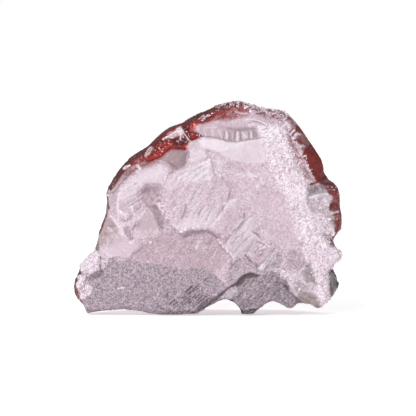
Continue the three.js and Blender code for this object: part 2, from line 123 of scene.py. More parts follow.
def depthInside(line, x, z, closed=True, reach=3.0):  # mm inside an outline, or minus the mm from a line
    corners = [(a * step, b * step) for a, b in line]
    xs, zs = zip(*corners)
    close = (x > min(xs) - reach) & (x < max(xs) + reach) & (z > min(zs) - reach) & (z < max(zs) + reach)
    nearest, inside = nearSegments(corners + corners[:1] if closed else corners, x[close], z[close])
    depth = np.full(len(x), -reach)
    depth[close] = np.where(inside & closed, nearest, -nearest)
    return depth


stoneShape = {  # mm, degrees, triangles, and shares of 1
    "merge": 0.002, "firstVoxel": 0.3, "lastVoxel": 0.21, "crease": 24,
    "frontTriangles": 152000, "backTriangles": 43000,
    "crown": 12.5, "crownZ": 22.0, "sideDrop": 0.0035, "endDrop": 0.003,  # the dome of the broken face
    "waist": -5.0, "waistBand": 0.3, "frontGap": 0.5, "backGap": 1, "rim": (0.5, 2.0),
    "flatInside": 3, "flatNormal": -0.9,  # the flat ground that the new face is seated by
    "wander": 0.18, "markWander": 0.14, "wanderSize": 1.4,  # how uneven the edges of ledges and marks are
    "sideWander": 2.4, "sideZone": (-7, 0), "sideSize": 4,  # and how much more so down the sides
    "mottleSize": 0.7, "mottle": (-0.25, 0.35), "lineWidth": 0.75,
    "streakLength": 4.0, "streakWidth": 0.55, "streakDepth": 3, "streakEdge": 0.8,
    "hatchSpread": 12, "hatchEdge": 1.0,
}

# ledges, plates and hollows of the broken face: lift in mm, tilt in mm per mm, edge in mm
ledges = {
    "rightField": {"lift": 0.35, "edge": 2.0, "outline": [(-25, 82), (-22, 86), (-17, 87), (-5, 88), (1, 86),
        (8, 81), (13, 74), (21, 65), (23, 57), (21, 47), (18, 35), (14, 25), (11, 14), (11, -15), (152, -15),
        (152, 235), (-12, 235), (-15, 183), (-16, 176), (-20, 173), (-21, 167), (-19, 161), (-23, 150),
        (-38, 141), (-42, 127), (-47, 112), (-46, 107), (-38, 95), (-33, 88)]},
    "mainPlate": {"lift": 1.7, "tilt": (-0.05, -0.02), "edge": 0.6, "outline": [(-32, 145), (-22, 150),
        (-8, 154), (1, 157), (5, 151), (11, 142), (18, 137), (23, 127), (20, 115), (16, 109), (15, 101),
        (20, 93), (16, 83), (8, 81), (1, 86), (-5, 88), (-17, 87), (-22, 86), (-25, 82), (-33, 88),
        (-41, 101), (-46, 107), (-47, 112), (-44, 118), (-42, 127), (-40, 135)]},
    "plateBevel": {"lift": 1.4, "tilt": (0, -0.3), "edge": 0.9, "outline": [(-33, 145), (-22, 150), (1, 158),
        (4, 150), (-12, 142), (-28, 136)]},
    "sideBlock": {"lift": 1.3, "tilt": (0.12, 0), "edge": 0.9, "outline": [(-20, 173), (-16, 176), (-9, 177),
        (-2, 165), (1, 158), (-8, 154), (-22, 150), (-22, 156), (-19, 161), (-21, 167)]},
    "window": {"lift": 0.0, "edge": 2.4, "outline": [(-15, 186), (-11, 190), (8, 194), (32, 194), (44, 192),
        (54, 188), (56, 178), (39, 175), (19, 174), (0, 178), (-13, 182)]},
    "fan": {"lift": 0.5, "tilt": (-0.06, -0.14), "edge": 1.0, "outline": [(14, 138), (25, 125), (33, 124),
        (42, 127), (50, 133), (56, 139), (54, 147), (32, 149), (18, 147)]},
    "brow": {"lift": 1.05, "tilt": (-0.02, 0.08), "edge": 1.1, "outline": [(-9, 176), (-3, 178), (5, 178),
        (14, 176), (21, 174), (32, 174), (42, 176), (56, 178), (62, 165), (60, 152), (42, 152), (27, 154),
        (14, 160), (2, 165), (-5, 165), (-8, 169)]},
    "dish": {"lift": 0.3, "edge": 1.6, "outline": [(18, 137), (23, 147), (32, 150), (54, 150), (64, 143),
        (68, 130), (54, 125), (25, 125)]},
    "redShelf": {"lift": 0.6, "tilt": (-0.05, -0.05), "edge": 0.6, "outline": [(-63, 155), (-65, 161),
        (-52, 176), (-36, 188), (-27, 190), (-18, 198), (-14, 193), (-12, 181), (-11, 177), (-20, 173),
        (-21, 166), (-36, 166), (-42, 160), (-56, 154)]},
    "pocket": {"lift": -0.7, "tilt": (-0.16, 0.05), "edge": 1.3, "outline": [(-37, 166), (-28, 166),
        (-21, 166), (-19, 161), (-23, 150), (-33, 146), (-41, 152), (-52, 154), (-42, 162)]},
    "shoulder": {"lift": 1.3, "edge": 1.6, "outline": [(-90, 99), (-94, 110), (-93, 121), (-87, 132),
        (-78, 141), (-65, 148), (-52, 154), (-41, 152), (-33, 146), (-38, 141), (-42, 127), (-50, 130),
        (-59, 130), (-66, 126), (-76, 117), (-84, 99)]},
    "roughPatch": {"lift": 0.9, "tilt": (-0.15, 0), "edge": 0.6, "outline": [(-86, 127), (-78, 134),
        (-69, 131), (-67, 123), (-65, 112), (-71, 105), (-77, 97), (-87, 96)]},
    "leftHollow": {"lift": -0.9, "tilt": (-0.14, -0.06), "edge": 2.6, "outline": [(-66, 124), (-59, 128),
        (-49, 128), (-44, 123), (-48, 112), (-43, 96), (-45, 87), (-58, 86), (-81, 89), (-81, 96),
        (-67, 112)]},
    "pyramidLeft": {"lift": -0.5, "tilt": (0.1, 0.0), "edge": 0.4, "outline": [(-62, 109), (-46, 87),
        (-75, 86), (-69, 98)]},
    "pyramidRight": {"lift": -0.65, "tilt": (-0.18, 0.05), "edge": 0.6, "outline": [(-62, 109), (-57, 111),
        (-50, 107), (-44, 98), (-46, 87)]},
    "shadeSliver": {"lift": -0.3, "tilt": (0.1, 0), "edge": 0.6, "outline": [(-83, 89), (-78, 88), (-74, 81),
        (-74, 76), (-78, 76), (-82, 81)]},
    "pinkFacet": {"lift": 0.4, "tilt": (0.02, -0.12), "edge": 0.9, "outline": [(-101, 59), (-107, 65),
        (-104, 72), (-99, 79), (-94, 83), (-88, 83), (-77, 74), (-65, 72), (-68, 66), (-75, 62), (-77, 57)]},
    "whiteLump": {"lift": 2, "edge": 0.5, "round": 1.6, "outline": [(-127, 45), (-124, 53), (-114, 62),
        (-109, 62), (-107, 55), (-107, 46), (-110, 45), (-116, 42)]},
    "greyHole": {"lift": -0.7, "tilt": (0, 0.2), "edge": 0.7, "outline": [(-121, 38), (-116, 42), (-110, 46),
        (-104, 44), (-106, 40), (-118, 34)]},
    "rimLump": {"lift": 1.2, "edge": 0.5, "round": 1.2, "outline": [(-133, 32), (-129, 40), (-124, 42),
        (-121, 37), (-124, 30), (-129, 26)]},
    "midLobe": {"lift": 1.35, "tilt": (-0.07, 0), "edge": 1.0, "outline": [(18, 114), (27, 115), (35, 108),
        (37, 99), (33, 92), (24, 83), (16, 75), (12, 79), (18, 89), (15, 101)]},
    "greyPlate": {"lift": 1.2, "tilt": (0, -0.1), "edge": 0.5, "outline": [(22, 48), (26, 53), (37, 62),
        (45, 53), (50, 47), (48, 43), (36, 41), (28, 35), (23, 30)]},
    "footBlock": {"lift": 0.2, "tilt": (0, 0.08), "edge": 0.6, "outline": [(12, 14), (16, 20), (23, 26),
        (32, 30), (47, 38), (67, 46), (75, 43), (75, 34), (82, 26), (89, 17), (91, 9), (82, -4), (50, -8),
        (30, -4)]},
    "hatchFacet": {"lift": 1.0, "tilt": (-0.15, 0.05), "edge": 0.5, "outline": [(48, 47), (50, 55), (59, 67),
        (65, 71), (74, 65), (73, 56), (70, 48), (62, 44)]},
    "whiteLobe": {"lift": 0.8, "edge": 1.2, "outline": [(77, 63), (84, 66), (92, 66), (96, 57), (94, 49),
        (87, 45), (79, 47), (75, 54)]},
    "clearPocket": {"lift": 0.5, "tilt": (0.2, 0), "edge": 0.8, "outline": [(95, 51), (100, 55), (104, 50),
        (110, 32), (104, 30), (97, 31), (94, 39)]},
    "rightFacets": {"lift": 0.5, "tilt": (-0.1, 0.35), "edge": 0.5, "outline": [(84, 24), (92, 23), (101, 24),
        (109, 21), (113, 12), (110, -4), (88, -4), (88, 17)]},
    "whiteBand": {"lift": 1.8, "edge": 2.6, "outline": [(54, 175), (54, 187), (61, 193), (72, 193), (79, 180),
        (90, 150), (100, 125), (98, 110), (104, 100), (114, 90), (114, 80), (123, 75), (126, 67), (142, 65),
        (140, 51), (123, 46), (120, 35), (120, 23), (123, 13), (112, 1), (109, 15), (106, 37), (101, 50),
        (94, 63), (85, 79), (80, 93), (76, 110), (69, 125), (64, 143), (58, 157)]},
    "darkRecess": {"lift": -0.1, "tilt": (0, -0.2), "edge": 1.4, "outline": [(101, 128), (106, 131),
        (114, 132), (122, 127), (125, 121), (115, 121), (101, 119)]},
    "smoothBay": {"lift": 1.0, "edge": 2.0, "outline": [(101, 118), (115, 120), (120, 115), (123, 109),
        (118, 104), (108, 104), (101, 109)]},
    "redFace": {"lift": -1, "tilt": (-0.75, -0.1), "edge": 1.0, "outline": [(89, 200), (84, 177), (89, 168),
        (101, 146), (106, 137), (103, 131), (110, 132), (124, 134), (144, 152), (120, 200)]},
    "greyCrystal": {"lift": -6, "tilt": (-0.3, 0), "edge": 0.3, "outline": [(120, 47), (123, 46), (137, 38),
        (137, 23), (126, 14), (121, 18), (120, 30)]},
}

# finishes, painted shade and painted highlights on the broken face, in areas: how wide the soft edge is in
# mm, amount, how mottled, outline
markAreas = {
    # painted shade: the hollows, the pocket, the window and the ground below ledges made darker and
    # mauve-grey
    "mauveShade": [
        (0.6, 0.2, 0.2, [(14, 187), (32, 187), (49, 187), (50, 178), (38, 175), (24, 174), (14, 177)]),
        (1, 0.65, 0.3, [(-67, 126), (-58, 129), (-48, 127), (-44, 119), (-47, 109), (-44, 99), (-43, 88),
            (-51, 86), (-56, 101), (-62, 107), (-65, 115)]),
        (1, 0.28, 0.5, [(-82, 123), (-68, 131), (-64, 119), (-65, 109), (-78, 103), (-86, 109)]),
        (0.8, 0.8, 0.4, [(-65, 125), (-56, 127), (-49, 125), (-48, 118), (-52, 109), (-58, 110), (-61, 118)]),
        (0.4, 0.65, 0, [(-61, 107), (-65, 100), (-74, 88), (-68, 87), (-56, 87), (-48, 87), (-52, 97)]),
        (0.5, 1, 0, [(-37, 167), (-28, 166), (-20, 165), (-19, 160), (-22, 155), (-22, 151), (-32, 146),
            (-37, 149), (-41, 153), (-48, 155), (-43, 161)]),
        (1, 0.35, 0.3, [(-11, 182), (-12, 187), (-4, 191), (8, 192), (18, 191), (32, 191), (49, 188),
            (54, 179), (42, 176), (32, 174), (22, 175), (4, 179)]),
        (1.2, 0.5, 0.6, [(38, 209), (54, 206), (82, 203), (84, 191), (72, 189), (54, 193), (40, 199)]),
        (1.2, 0.4, 0.4, [(-3, 193), (8, 198), (24, 201), (42, 203), (54, 198), (60, 192), (44, 194),
            (32, 195), (20, 193), (8, 193)]),
        (2, 0.75, 0.2, [(-68, 87), (-48, 85), (-28, 83), (-2, 87), (10, 81), (18, 69), (22, 53), (6, 43),
            (-8, 48), (-22, 47), (-58, 53), (-72, 57), (-76, 63), (-67, 72)]),
        (1.5, 0.5, 0.1, [(-22, 83), (-2, 86), (10, 81), (12, 67), (-2, 59), (-18, 69)]),
        (1, 0.35, 0.2, [(-98, 125), (-92, 127), (-90, 115), (-91, 101), (-97, 103)]),
        (0.8, 0.4, 0.2, [(-88, 114), (-80, 116), (-76, 112), (-80, 105), (-86, 105)]),
        (1.2, 0.12, 0.1, [(3, 141), (14, 139), (20, 133), (23, 123), (14, 113), (6, 117), (2, 129)]),
        (1.2, 0.3, 0.1, [(18, 153), (42, 151), (58, 152), (54, 143), (42, 141), (28, 143), (18, 147)]),
        (1.5, 0.06, 0.2, [(18, 139), (54, 139), (64, 125), (78, 99), (84, 75), (62, 73), (42, 81), (36, 97),
            (32, 113), (24, 123)]),
        (1, 0.3, 0.2, [(16, 103), (24, 111), (35, 109), (35, 98), (26, 89), (16, 83)]),
        (1, 0.5, 0.2, [(-110, 83), (-102, 101), (-98, 99), (-90, 85), (-84, 75), (-96, 69), (-104, 69)]),
        (1.2, 0.35, 0.4, [(-96, 133), (-84, 143), (-68, 149), (-58, 152), (-62, 146), (-76, 139), (-88, 128),
            (-96, 123)]),
    ],
    "grey": [
        (0.5, 1, 0, [(-104, 53), (-100, 58), (-96, 58), (-90, 55), (-83, 56), (-76, 57), (-68, 54),
            (-58, 52.5), (-48, 51.5), (-38, 50), (-28, 48), (-22, 46.5), (-13, 48), (-5, 49), (0, 47),
            (6, 42), (14, 35), (20, 29), (20, -15), (-148, -15), (-148, 15), (-128, 19), (-120, 31),
            (-115, 33), (-105, 42)]),
        (1, 1, 0, [(16, 23), (24, 29), (32, 34), (38, 36), (48, 40), (60, 44), (68, 47), (76, 44), (81, 35),
            (82, 25), (88, 18), (92, 9), (88, -15), (14, -15), (12, 15)]),
        (0.8, 0.75, 0.2, [(22, 47), (28, 54), (33, 58), (38, 61), (43, 55), (50, 53), (52, 43), (44, 45),
            (35, 42), (28, 36), (20, 31), (16, 39)]),
        (1, 0.6, 0.2, [(52, 47), (58, 59), (64, 65), (71, 65), (73, 53), (68, 48), (58, 44)]),
        (1.2, 0.6, 0.3, [(76, 61), (80, 66), (90, 66), (95, 59), (94, 49), (87, 45), (78, 48)]),
    ],
    "clear": [
        (0.6, 0.6, 0.1, [(-120, 34), (-117, 39), (-111, 45), (-105, 46), (-104, 43), (-108, 38), (-114, 34)]),
        (0.6, 0.35, 0.4, [(-128, 49), (-120, 42), (-115, 41), (-120, 35), (-128, 36)]),
        (1, 0.75, 0.5, [(100, 125), (104, 129), (112, 131), (118, 128), (124, 124), (124, 119), (114, 121),
            (104, 119), (101, 120)]),
        (1.2, 0.35, 0.3, [(98, 117), (114, 117), (120, 111), (120, 103), (112, 99), (101, 102), (97, 109)]),
        (0.8, 0.7, 0.4, [(112, 98), (124, 103), (128, 93), (122, 85), (114, 85)]),
        (1, 0.75, 0.2, [(94, 42), (96, 49), (101, 53), (105, 47), (107, 39), (109, 30), (97, 30)]),
        (1, 0.6, 0.5, [(82, 43), (95, 47), (104, 33), (106, 24), (88, 23), (83, 29)]),
        (0.7, 1, 0, [(118, 39), (121, 47), (126, 45), (134, 31), (130, 25), (126, 23), (126, 15), (120, 19),
            (118, 29)]),
        (0.7, 0.9, 0, [(126, 49), (136, 35), (136, 25), (130, 21), (126, 31)]),
    ],
    "brown": [
        (0.6, 0.4, 0, [(-36, 165), (-28, 165), (-20, 164), (-22, 155), (-22, 151), (-32, 147), (-36, 150),
            (-40, 154), (-40, 161)]),
        (0.5, 0.8, 0, [(-98, 95), (-95, 94), (-91, 87), (-96, 87)]),
        (1.2, 0.45, 0.2, [(-104, 95), (-99, 100), (-91, 85), (-98, 77), (-106, 69), (-111, 75), (-108, 84)]),
        (0.5, 0.9, 0.2, [(-114, 75), (-109, 77), (-107, 71), (-108, 63), (-113, 65)]),
        (1, 0.5, 0.5, [(-108, 59), (-98, 59), (-95, 53), (-100, 47), (-106, 47)]),
        (0.6, 0.8, 0.15, [(89, 22), (98, 24), (107, 21), (114, 15), (113, 4), (106, 10), (96, 12), (89, 12)]),
        (0.8, 0.6, 0.5, [(110, 81), (120, 83), (126, 79), (122, 75), (112, 76)]),
        (1, 0.25, 0.4, [(-124, 19), (-114, 31), (-104, 39), (-96, 31), (-102, 15), (-116, 7)]),
    ],
    "white": [
        (1.4, 0.95, 0.25, [(47, 189), (64, 191), (72, 189), (76, 181), (84, 165), (92, 147), (98, 131),
            (96, 115), (104, 103), (118, 97), (126, 83), (120, 73), (126, 67), (138, 63), (138, 55),
            (126, 47), (120, 37), (122, 19), (114, 7), (111, 15), (109, 29), (104, 49), (94, 67), (86, 89),
            (80, 109), (72, 127), (64, 145), (59, 158), (54, 173)]),
        (1.2, 0.9, 0.9, [(49, 187), (60, 190), (68, 181), (72, 165), (78, 151), (68, 151), (60, 159),
            (54, 173)]),
        (1.5, 0.5, 0.7, [(72, 193), (84, 179), (96, 159), (104, 143), (104, 131), (94, 135), (86, 155),
            (76, 175), (68, 189)]),
        (0.5, 0.85, 0.4, [(-128, 51), (-120, 57), (-112, 64), (-107, 58), (-107, 47), (-112, 44), (-120, 41),
            (-125, 45)]),
        (0.5, 0.85, 0.3, [(-132, 29), (-128, 39), (-123, 38), (-122, 32), (-128, 26)]),
        (0.8, 0.6, 0.5, [(-128, 25), (-120, 32), (-115, 29), (-118, 21), (-124, 16), (-128, 18)]),
        (0.8, 0.55, 0.5, [(-110, 65), (-100, 67), (-96, 59), (-100, 53), (-106, 43), (-108, 53)]),
        (0.6, 0.6, 0.5, [(49, 66), (54, 73), (64, 72), (60, 66), (53, 63)]),
        (0.6, 0.6, 0.6, [(64, 47), (74, 49), (82, 41), (78, 36), (68, 42)]),
        (1, 0.5, 0.4, [(77, 47), (92, 45), (96, 37), (86, 34), (84, 25), (108, 23), (110, 29), (104, 34),
            (88, 21), (80, 33)]),
        (0.6, 0.5, 0.6, [(-51, 112), (-45, 115), (-39, 101), (-37, 93), (-42, 96)]),
    ],
    # painted highlights on the lit tops of plates, ridges and edges, with real white veils and streaks among
    # them
    "light": [
        (0.5, 0.35, 0.1, [(-10, 177), (4, 177.5), (16, 175), (32, 173.5), (54, 177), (58, 155), (50, 152),
            (32, 153), (17, 158), (6, 164), (-4, 165), (-9, 169)]),
        (0.8, 0.7, 0.1, [(-9, 176), (4, 177), (24, 173), (44, 174), (30, 168), (14, 163), (4, 165),
            (-4, 166)]),
        (0.5, 0.8, 0.2, [(-9, 176), (-4, 176), (-1, 171), (-5, 167), (-8, 171)]),
        (1, 0.4, 0.2, [(-18, 165), (-8, 166), (6, 164), (2, 159), (-12, 155), (-20, 153)]),
        (1.2, 0.3, 0.3, [(-34, 143), (2, 157), (6, 139), (-4, 133), (-32, 131), (-42, 115), (-44, 125),
            (-40, 137)]),
        (0.4, 0.85, 0.1, [(-4, 135), (0, 140), (3, 140), (3, 135)]),
        (0.4, 0.95, 0.1, [(8, 147), (11, 149), (13, 143), (16, 142), (13, 139), (9, 141), (7, 144)]),
        (1, 0.5, 0.5, [(16, 113), (23, 116), (30, 114), (26, 108), (18, 107)]),
        (0.8, 0.5, 0.5, [(68, 43), (74, 45), (80, 41), (78, 36)]),
        (1.2, 0.35, 0.3, [(-70, 86), (-58, 86), (-48, 84), (-52, 79), (-66, 78), (-72, 81)]),
        (2, 0.35, 0.3, [(24, 81), (38, 97), (46, 91), (42, 75), (30, 63), (20, 67)]),
        (2, 0.3, 0.2, [(-5, 105), (12, 109), (10, 97), (2, 87), (-12, 88), (-25, 84), (-32, 89), (-18, 101)]),
        (2, 0.45, 0.2, [(-89, 119), (-84, 131), (-74, 138), (-60, 144), (-46, 151), (-40, 147), (-48, 137),
            (-68, 134), (-72, 119), (-84, 115)]),
        (0.4, 0.95, 0, [(-79, 73), (-77, 75), (-72, 76), (-75, 72)]),
        (0.3, 0.9, 0, [(-32, 186), (-28, 189), (-25, 186), (-27, 181), (-31, 182)]),
        (0.3, 0.45, 0, [(-44, 176), (-38, 182), (-31, 186), (-27, 188), (-24, 181), (-30, 179), (-35, 177)]),
        (0.3, 0.35, 0, [(-62, 161), (-60, 165.5), (-57, 168), (-55.5, 167), (-58, 163.5), (-60, 160)]),
        (0.4, 0.35, 0, [(-15, 185), (-12, 190), (-8, 189), (-9, 185), (-12, 183)]),
        (1, 0.5, 0.5, [(13, 19), (18, 24), (26, 28), (32, 25), (22, 17)]),
    ],
    "redBrown": [
        (0.6, 1, 0, [(96, 166), (104, 174), (122, 165), (126, 143), (119, 136), (112, 133), (109, 134),
            (105, 139), (102, 145), (98, 152), (94, 159)]),
        (1, 0.55, 0.15, [(87, 190), (92, 195), (114, 177), (104, 165), (96, 163), (92, 166), (97, 169),
            (92, 173), (88, 177), (89, 181)]),
        (0.4, 0.9, 0.1, [(87, 189), (93, 191), (98, 184), (95, 181), (90, 183), (87, 184)]),
        (0.4, 0.8, 0.2, [(85, 176), (90, 177), (96, 172), (93, 170), (88, 172)]),
        (1, 0.4, 0.5, [(76, 203), (84, 197), (92, 187), (84, 181), (80, 193)]),
        (1, 0.45, 0.6, [(78, 187), (84, 175), (92, 157), (102, 141), (105, 133), (96, 137), (88, 153),
            (80, 173)]),
        (0.8, 0.4, 0.9, [(44, 209), (60, 207), (80, 205), (84, 197), (68, 195), (48, 201)]),
        (0.6, 0.9, 0.35, [(114, 131), (126, 135), (137, 120), (137, 83), (126, 83), (126, 101), (122, 109),
            (124, 119)]),
    ],
    "red": [
        (1, 0.07, 0.4, [(-13, 189), (0, 192), (14, 191), (22, 185), (16, 177), (-4, 180)]),
        (0.5, 1, 0, [(-65, 157), (-70, 165), (-48, 187), (-28, 197), (-18, 192), (-12, 191), (-12, 184),
            (-6, 179), (-11, 176), (-17, 174), (-20, 168), (-21, 165), (-30, 166), (-36, 166), (-42, 162),
            (-48, 157), (-56, 154), (-61, 154)]),
        (0.5, 1, 0, [(-22, 192), (-22, 203), (-2, 211), (8, 207), (8, 199), (-2, 194), (-11, 191)]),
        (0.8, 0.8, 0.4, [(-14, 192), (-2, 199), (8, 205), (22, 209), (32, 209), (28, 203), (16, 197),
            (4, 194), (-4, 191), (-11, 190)]),
        (1, 0.65, 0.5, [(14, 207), (32, 211), (48, 208), (40, 200), (26, 196), (12, 194)]),
        (0.8, 0.8, 0.3, [(-90, 143), (-83, 152), (-74, 162), (-64, 161), (-62, 155), (-70, 151), (-77, 148),
            (-84, 143), (-91, 135)]),
        (1.5, 0.45, 0.4, [(-84, 141), (-77, 149), (-69, 154), (-60, 155), (-50, 154), (-58, 150), (-68, 147),
            (-77, 142)]),
    ],
    "glow": [
        (0.4, 0.35, 0.3, [(-50, 177), (-50, 183), (-40, 191), (-29, 195), (-29, 188), (-36, 185.5),
            (-43, 182)]),
        (0.3, 0.95, 0, [(-18, 191), (-14, 192), (-13, 188), (-16, 186), (-18, 188)]),
        (0.4, 0.6, 0, [(-25, 170), (-21, 172), (-20, 168), (-22, 166)]),
    ],
    "deep": [
        (0.5, 0.95, 0.1, [(-25, 189), (-21, 193), (-18, 192), (-18, 184), (-22, 184)]),
        (0.5, 0.85, 0.1, [(-36, 177), (-30, 178), (-24, 179), (-20, 174), (-24, 171), (-30, 169), (-35, 172),
            (-37, 175)]),
        (0.8, 0.35, 0.6, [(-62, 169), (-52, 179), (-42, 187), (-32, 191), (-31, 188), (-37, 184), (-44, 179),
            (-47, 176), (-55, 169), (-59, 169), (-63, 163)]),
    ],
    "skin": [
        (0.5, 1, 0, [(-113, 118), (-108, 135), (-96, 155), (-78, 170), (-58, 185), (-44, 197), (-50, 193),
            (-54, 184), (-58, 176), (-61, 169), (-66, 164), (-69, 159), (-76, 155), (-82, 151), (-87, 145),
            (-91, 140), (-95, 134), (-98, 127), (-99.5, 121)]),
        (0.4, 1, 0, [(-23, 191), (-21, 201), (-10, 211), (6, 215), (12, 210), (4, 203), (-4, 199), (-10, 196),
            (-14, 193), (-18, 192), (-22, 190)]),
        (0.5, 1, 0.5, [(4, 213), (14, 219), (30, 223), (42, 217), (44, 211), (35, 209), (26, 208), (17, 205),
            (6, 204)]),
        (0.8, 0.4, 0.9, [(46, 215), (60, 215), (76, 211), (84, 203), (82, 195), (73, 194), (64, 196),
            (54, 199), (46, 205)]),
        (0.5, 0.9, 0.5, [(108, 133), (114, 139), (126, 139), (134, 129), (128, 125), (122, 126), (112, 131)]),
        (0.5, 1, 0.25, [(128, 89), (138, 93), (138, 81), (130, 75), (122, 69), (121, 77), (127, 82)]),
        (0.4, 0.9, 0.4, [(120, 110), (125, 112), (137, 112), (137, 104), (128, 103), (121, 105)]),
        (0.5, 1, 0, [(-130, 49), (-128, 43), (-131, 36), (-132, 29), (-128, 25), (-128, 17), (-125, 11),
            (-138, 9), (-148, 23), (-146, 35)]),
        (0.8, 0.4, 0.5, [(-98, 125), (-95, 133), (-88, 141), (-78, 149), (-73, 145), (-86, 132), (-94, 122)]),
    ],
    # painted shade under ledges, in recesses, cracks and undersides, with real dark lines and spots among it
    "dark": [
        (1.5, 0.26, 0.8, [(-67, 127), (-58, 128), (-48, 126), (-46, 119), (-50, 109), (-59, 110),
            (-63, 115)]),
        (0.8, 0.3, 0.1, [(-58, 109), (-53, 112), (-48, 106), (-44, 96), (-45, 86), (-50, 91), (-54, 100)]),
        (1, 0.25, 0.7, [(-45, 101), (-40, 99), (-30, 85), (-36, 81), (-44, 89)]),
        (1, 0.22, 0.3, [(100, 127), (110, 131), (120, 127), (116, 121), (104, 120), (100, 121)]),
        (0.8, 0.2, 0.5, [(82, 67), (92, 66), (96, 59), (90, 59), (82, 61)]),
        (0.8, 0.35, 0.3, [(47, 61), (54, 67), (60, 70), (56, 63), (50, 58)]),
        (0.8, 0.1, 0.5, [(24, 71), (32, 79), (44, 77), (52, 75), (42, 65), (32, 63)]),
        (1.2, 0.13, 0.4, [(20, 21), (36, 34), (60, 42), (76, 42), (84, 23), (86, 11), (38, 5)]),
        (0.8, 0.3, 0.4, [(62, 45), (68, 46), (76, 43), (76, 33), (70, 31), (62, 35)]),
        (0.4, 0.5, 0.2, [(88, 17), (93, 17), (95, 12), (88, 12)]),
        (0.4, 0.2, 0, [(-23, 80), (-21, 85), (-13, 86), (-2, 87), (6, 83), (-3, 84), (-12, 82), (-20, 79)]),
        (0.8, 0.2, 0, [(-24, 164), (-19, 162), (-21, 156), (-22, 151), (-28, 148), (-25, 157)]),
        (0.7, 0.45, 0.1, [(18, 188), (26, 187), (36, 187.5), (47, 188), (50, 186), (46, 184), (36, 183.5),
            (26, 184), (20, 185)]),
        (0.4, 0.4, 0.2, [(44, 184), (49, 185), (50, 179), (44, 177)]),
        (0.5, 0.12, 0, [(-52, 108), (-48, 102), (-45, 94), (-46, 86), (-50, 93), (-53, 102)]),
        (0.4, 0.32, 0, [(-82, 90), (-78, 87), (-74, 77), (-77, 75), (-81, 80), (-83, 86)]),
        (0.5, 0.25, 0.3, [(-74, 89), (-70, 94), (-65, 96), (-68, 88)]),
        (0.5, 0.85, 0, [(26, 32), (30, 37), (35, 42), (42, 44), (47, 43), (53, 41), (44, 38), (37, 36),
            (34, 31), (29, 29)]),
        (0.4, 0.8, 0.1, [(73, 33), (76, 31), (80, 30), (81, 25), (78, 26)]),
        (0.5, 0.6, 0.1, [(86, 19), (92, 16), (96, 11), (89, 10)]),
        (0.5, 0.6, 0, [(36, 6), (43, 7), (52, 6), (58, 12), (63, 16), (58, 7), (48, 0), (38, -2), (32, 3)]),
        (0.4, 0.95, 0, [(122, 76), (126, 77), (127, 69), (123, 68)]),
        (0.5, 0.55, 0.3, [(114, 81), (123, 82), (123, 76), (115, 77)]),
        (0.4, 0.8, 0, [(117, 39), (122, 49), (126, 45), (134, 33), (131, 32), (125, 40), (120, 37)]),
        (0.8, 0.18, 0.3, [(97, 43), (102, 51), (106, 45), (108, 32), (100, 33)]),
        (1, 0.75, 0.5, [(112, 81), (124, 85), (126, 73), (120, 71), (116, 76)]),
        (0.5, 0.1, 0.1, [(-119, 34), (-115, 39), (-109, 44), (-106, 43), (-111, 38), (-116, 33)]),
        (0.5, 0.6, 0.2, [(-114, 75), (-111, 75), (-109, 65), (-113, 64)]),
        (1, 0.5, 0.4, [(102, 123), (105, 128), (111, 131), (116, 128), (109, 125), (104, 122)]),
        (0.6, 0.5, 0.5, [(106, 11), (112, 9), (114, 4), (108, 6)]),
    ],
    "druse": [
        (0.8, 0.5, 0.5, [(102, 117), (114, 117), (120, 109), (114, 101), (104, 103)]),
        (0.8, 0.1, 0.6, [(98, 129), (110, 131), (122, 125), (112, 121), (100, 120)]),
        (1.4, 0.8, 0.1, [(56, 179), (64, 169), (69, 185), (76, 181), (84, 165), (92, 147), (98, 131),
            (94, 115), (98, 99), (108, 79), (110, 65), (108, 53), (112, 39), (120, 23), (114, 9), (111, 15),
            (109, 29), (104, 49), (94, 67), (86, 89), (80, 109), (72, 127), (64, 145), (59, 158), (54, 173)]),
        (1.5, 0.7, 0.3, [(72, 193), (84, 179), (96, 159), (104, 139), (96, 131), (86, 155), (76, 175),
            (68, 189)]),
        (1, 1, 0, [(110, 71), (122, 69), (138, 65), (138, 53), (124, 47), (120, 39), (122, 17), (114, 7),
            (110, 19), (110, 45)]),
        (1, 0.6, 0.3, [(104, 103), (118, 99), (128, 87), (122, 69), (110, 71)]),
        (0.5, 1.7, 0, [(-128, 51), (-120, 58), (-112, 65), (-108, 63), (-108, 47), (-112, 44), (-120, 41),
            (-126, 45)]),
        (0.5, 1.7, 0, [(-132, 29), (-129, 40), (-123, 39), (-122, 31), (-115, 29), (-118, 19), (-128, 15),
            (-130, 25)]),
        (0.8, 0.25, 0.5, [(-108, 65), (-102, 65), (-96, 58), (-100, 51), (-104, 45), (-107, 53)]),
        (0.6, 0.55, 0.5, [(6, 212), (20, 216), (30, 217), (44, 213), (60, 208), (76, 206), (82, 198),
            (72, 194), (48, 202), (28, 209), (8, 205)]),
        (0.6, 0.07, 0.6, [(116, 134), (128, 131), (135, 115), (136, 85), (124, 75), (120, 79), (128, 89),
            (124, 109), (122, 123)]),
        (0.6, 0.7, 0.3, [(49, 66), (54, 73), (64, 72), (60, 66), (53, 63)]),
        (0.6, 0.8, 0.3, [(64, 47), (74, 49), (82, 41), (78, 36), (68, 42)]),
        (0.6, 0.6, 0.3, [(-51, 112), (-45, 115), (-39, 101), (-37, 91), (-44, 98)]),
        (0.8, 0.5, 0.5, [(77, 47), (92, 45), (96, 35), (92, 23), (80, 31)]),
    ],
    "bare": [
        (2.5, 1, 0.3, [(-58, 166), (-60, 183), (-44, 197), (-25, 201), (-24, 187), (-32, 183), (-46, 173)]),
        (0.6, 1, 0, [(-120, 79), (-107, 84), (-104, 59), (-116, 51), (-126, 63)]),
        (0.8, 1, 0, [(54, 215), (82, 209), (128, 167), (130, 141), (120, 134), (110, 133), (96, 145),
            (82, 189), (54, 203)]),
        (0.8, 1, 0, [(122, 133), (137, 133), (140, 93), (128, 89)]),
        (0.6, 1, 0, [(119, 49), (137, 49), (138, 21), (126, 11), (118, 15)]),
    ],
    "smooth": [
